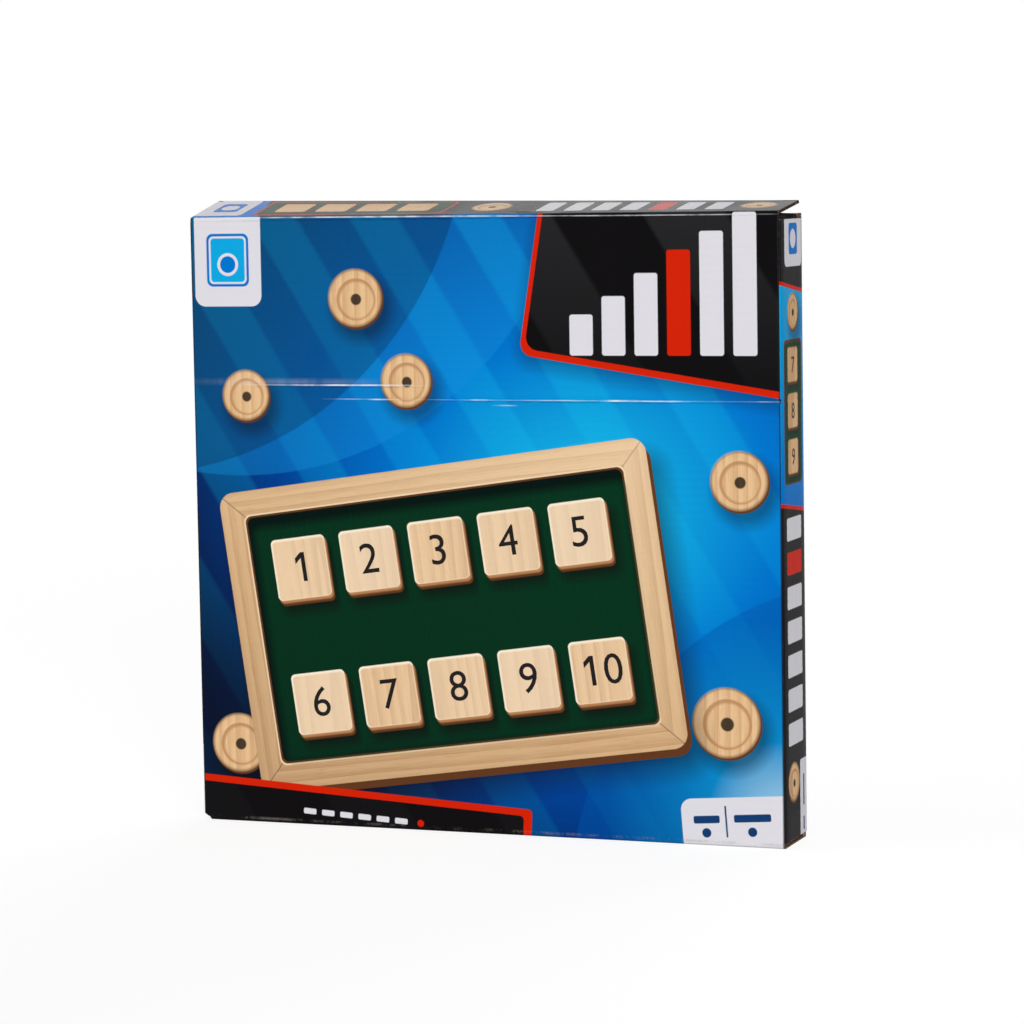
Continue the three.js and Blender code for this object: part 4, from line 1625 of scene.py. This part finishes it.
class SHUTBOX_OT_tiles(bpy.types.Operator):
    """Gives the tiles their wood and stamps a number near the outer end of each"""

    bl_idname = "shutbox.tiles"
    bl_label = "Number Tiles"

    def execute(self, context):
        codes = ((232, 204, 160), (224, 190, 142), (238, 214, 176), (218, 184, 138))
        lights, dark = [linear(code) for code in codes], linear((190, 146, 100))
        ink = ink_material("stamped number ink", linear((22, 18, 16)))
        for row, outward in ROWS.items():
            outward = Vector(outward)
            for k in range(10):
                node = f"tile_{row}_{k + 1:02d}"
                grain = "z" if outward.z else "x"
                shade = (k * 3 + len(row)) % 4
                look = (grain, 0.3 + 0.09 * shade, 0.017 * shade)
                assign(node, wood_material(f"tile beech {grain} {shade}", lights[shade], dark, *look))
                self.stamp(node, k + 1, outward, ink)
        return {"FINISHED"}

    @staticmethod
    def stamp(node, number, outward, ink):
        """The number stands upright for the player beyond that row's rail."""
        low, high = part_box(node)
        rod = Vector(joint(node + "_turn")["pos_m"])
        centre = (low + high) / 2
        across = outward.cross(Vector((0, 1, 0)))
        rod += across * (centre - rod).dot(across)
        mesh = frame["nodes"][node].data
        face = outer_face(mesh, "Y", 0.9)
        out = face.normal.copy()
        along = (outward - out * outward.dot(out)).normalized()
        level = (mesh.vertices[face.vertices[0]].co - rod).dot(out)
        spot = rod + along * NUMBER_FROM_ROD + out * (level + 0.02 * MM)
        up = -along
        stamp = lettering(str(number), sizes().number_height, facing(up.cross(out), up, spot))
        stamp.name = stamp.data.name = "number_" + node.removeprefix("tile_")
        dress(stamp, node, [ink])


class SHUTBOX_OT_dice(bpy.types.Operator):
    """Builds the two wooden dice with rounded corners and drilled pips"""

    bl_idname = "shutbox.dice"
    bl_label = "Dice"

    def execute(self, context):
        wood = wood_material("dice beech", linear((234, 204, 158)), linear((196, 150, 100)), "z", 0.4, 0.08)
        pip = ink_material("pip paint", linear((20, 16, 15)))
        master = self.die([wood, pip])
        for name, turn, tip in (("die_1", 0, 0), ("die_2", 28, 90)):
            low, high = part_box(name)
            obj = put(name + "_drilled", master.data.copy())
            place = Matrix.Translation((low + high) / 2)
            for degrees, axis in ((turn, "Z"), (tip, "X"), (tip, "Y")):
                place @= Matrix.Rotation(math.radians(degrees), 4, axis)
            obj.data.transform(place)
            dress(obj, "root", [], [name])
            smooth(obj, 40)
        bpy.data.objects.remove(master)
        return {"FINISHED"}

    @staticmethod
    def die(materials):
        half = DIE_HALF
        die = block("die_master", (-half, -half, -half), (half, half, half))
        edit(die)
        bevel(die, lambda e: True, DIE_ROUNDING, 6)
        done()
        drills = []
        faces = {1: (0, 0, 1), 6: (0, 0, -1), 2: (0, -1, 0), 5: (0, 1, 0), 3: (1, 0, 0), 4: (-1, 0, 0)}
        for count, normal in faces.items():
            normal = Vector(normal)
            right = Vector((0, 1, 0)) if abs(normal.z) > 0.5 or abs(normal.x) > 0.5 else Vector((1, 0, 0))
            up = normal.cross(right)
            for a, b in PIPS[count]:
                deselect()
                spot = normal * (half + DRILL_LIFT) + right * a * PIP_SPACING + up * b * PIP_SPACING
                drill = {"radius": sizes().pip_radius * 1.1, "location": spot}
                bpy.ops.mesh.primitive_uv_sphere_add(segments=16, ring_count=10, **drill)
                bpy.ops.object.transform_apply(location=True, rotation=True, scale=True)
                drills.append(bpy.context.object)
        drill = joined(drills, "drill")
        for material in materials:
            die.data.materials.append(material)
            drill.data.materials.append(material)
        for polygon in drill.data.polygons:
            polygon.material_index = 1
        way = {"operation": "DIFFERENCE", "solver": "EXACT", "material_mode": "INDEX"}
        add_modifier(die, "BOOLEAN", object=drill, **way)
        bpy.data.objects.remove(drill)
        return die


class SHUTBOX_OT_stage(bpy.types.Operator):
    """Sets the pale floor, the soft lamps and the camera"""

    bl_idname = "shutbox.stage"
    bl_label = "Floor, Lamps and Camera"

    def execute(self, context):
        self.camera()
        self.floor()
        self.lamps()
        context.scene.view_settings.view_transform = "Standard"
        return {"FINISHED"}

    @staticmethod
    def camera():
        data = bpy.data.cameras.new("camera")
        data.sensor_width = SENSOR_WIDTH
        data.lens = FOCAL_LENGTH_IN_PIXELS / PICTURE_WIDTH * SENSOR_WIDTH
        data.clip_end = 50
        camera = put("camera", data)
        camera.matrix_world = facing(CAMERA_RIGHT, CAMERA_UP, CAMERA_PLACE)
        bpy.context.scene.camera = camera

    @staticmethod
    def seen_directly(bench):
        """One where a ray comes from the camera, a reflection or glass, and zero elsewhere."""
        rays = bench.add("ShaderNodeLightPath").outputs
        seen = bench.math("MAXIMUM", rays["Is Camera Ray"], rays["Is Glossy Ray"])
        return bench.math("MAXIMUM", seen, rays["Is Transmission Ray"])

    def floor(self):
        deselect()
        bpy.ops.mesh.primitive_plane_add(size=60)
        floor = named("floor")
        shade = (FLOOR_SHADE, FLOOR_SHADE, FLOOR_SHADE, 1)
        shader = {"Base_Color": shade, "Roughness": 0.9, "Specular_IOR_Level": 0.0}
        material, bench, _ = new_material("pale floor", **shader)
        nodes = material.node_tree.nodes
        strength = self.seen_directly(bench) * FLOOR_GLOW
        glow = bench.out("ShaderNodeEmission", {"Strength": strength})
        both = bench.out("ShaderNodeAddShader", {0: nodes["Principled BSDF"].outputs[0], 1: glow})
        bench.feed(nodes["Material Output"].inputs["Surface"], both)
        floor.data.materials.append(material)

        world = bpy.data.worlds.new("studio")
        bpy.context.scene.world = world
        world.use_nodes = True
        bench = Bench(world.node_tree)
        background = world.node_tree.nodes["Background"]
        background.inputs["Color"].default_value = (1, 1, 1, 1)
        strength = bench.spread(self.seen_directly(bench), 0.0, 1.0, SKY, 1.0)
        bench.feed(background.inputs["Strength"], strength)

    @staticmethod
    def lamps():
        """Three broad suns. The rear one isn't mirrored, because its glare would hide the lid's print."""
        for name, spot, strength, spread in (
            ("key_lamp", (0.5, -0.9, 0.2), 2.35, 25),
            ("fill_lamp", (-0.95, -0.45, 0.2), 0.9, 40),
            ("rear_lamp", (0.1, 0.95, 0.25), 1.7, 40),
        ):
            data = bpy.data.lights.new(name, "SUN")
            data.energy = strength
            data.angle = math.radians(spread)
            lamp = put(name, data)
            lamp.location = spot
            lamp.rotation_euler = Vector(spot).to_track_quat("Z", "Y").to_euler()
            lamp.visible_glossy = name != "rear_lamp"


OPERATORS = (
    SHUTBOX_OT_carton_walls,
    SHUTBOX_OT_lid,
    SHUTBOX_OT_flaps,
    SHUTBOX_OT_glued_end,
    SHUTBOX_OT_printed_numbers,
    SHUTBOX_OT_felt,
    SHUTBOX_OT_tray_woods,
    SHUTBOX_OT_tiles,
    SHUTBOX_OT_dice,
    SHUTBOX_OT_stage,
)


class SHUTBOX_PT_panel(bpy.types.Panel):
    """Lists the steps that dress the game."""

    bl_idname = "SHUTBOX_PT_panel"
    bl_label = "Shut the Box Game"
    bl_space_type = "VIEW_3D"
    bl_region_type = "UI"
    bl_category = "Shut the Box"

    def draw(self, context):
        for step in OPERATORS:
            self.layout.operator(step.bl_idname)
        for group in (context.scene.shut_box_sizes, context.scene.shut_box_colours):
            column = self.layout.column()
            for name in group.__annotations__:
                column.prop(group, name)


CLASSES = (ShutBoxSizes, ShutBoxColours, *OPERATORS, SHUTBOX_PT_panel)


def register():
    for kind in CLASSES:
        bpy.utils.register_class(kind)
    bpy.types.Scene.shut_box_sizes = bpy.props.PointerProperty(type=ShutBoxSizes)
    bpy.types.Scene.shut_box_colours = bpy.props.PointerProperty(type=ShutBoxColours)


def unregister():
    del bpy.types.Scene.shut_box_colours
    del bpy.types.Scene.shut_box_sizes
    for kind in reversed(CLASSES):
        bpy.utils.unregister_class(kind)


def main():
    register()
    for step in OPERATORS:
        group, name = step.bl_idname.split(".")
        getattr(getattr(bpy.ops, group), name)()


if __name__ == "__main__":
    main()
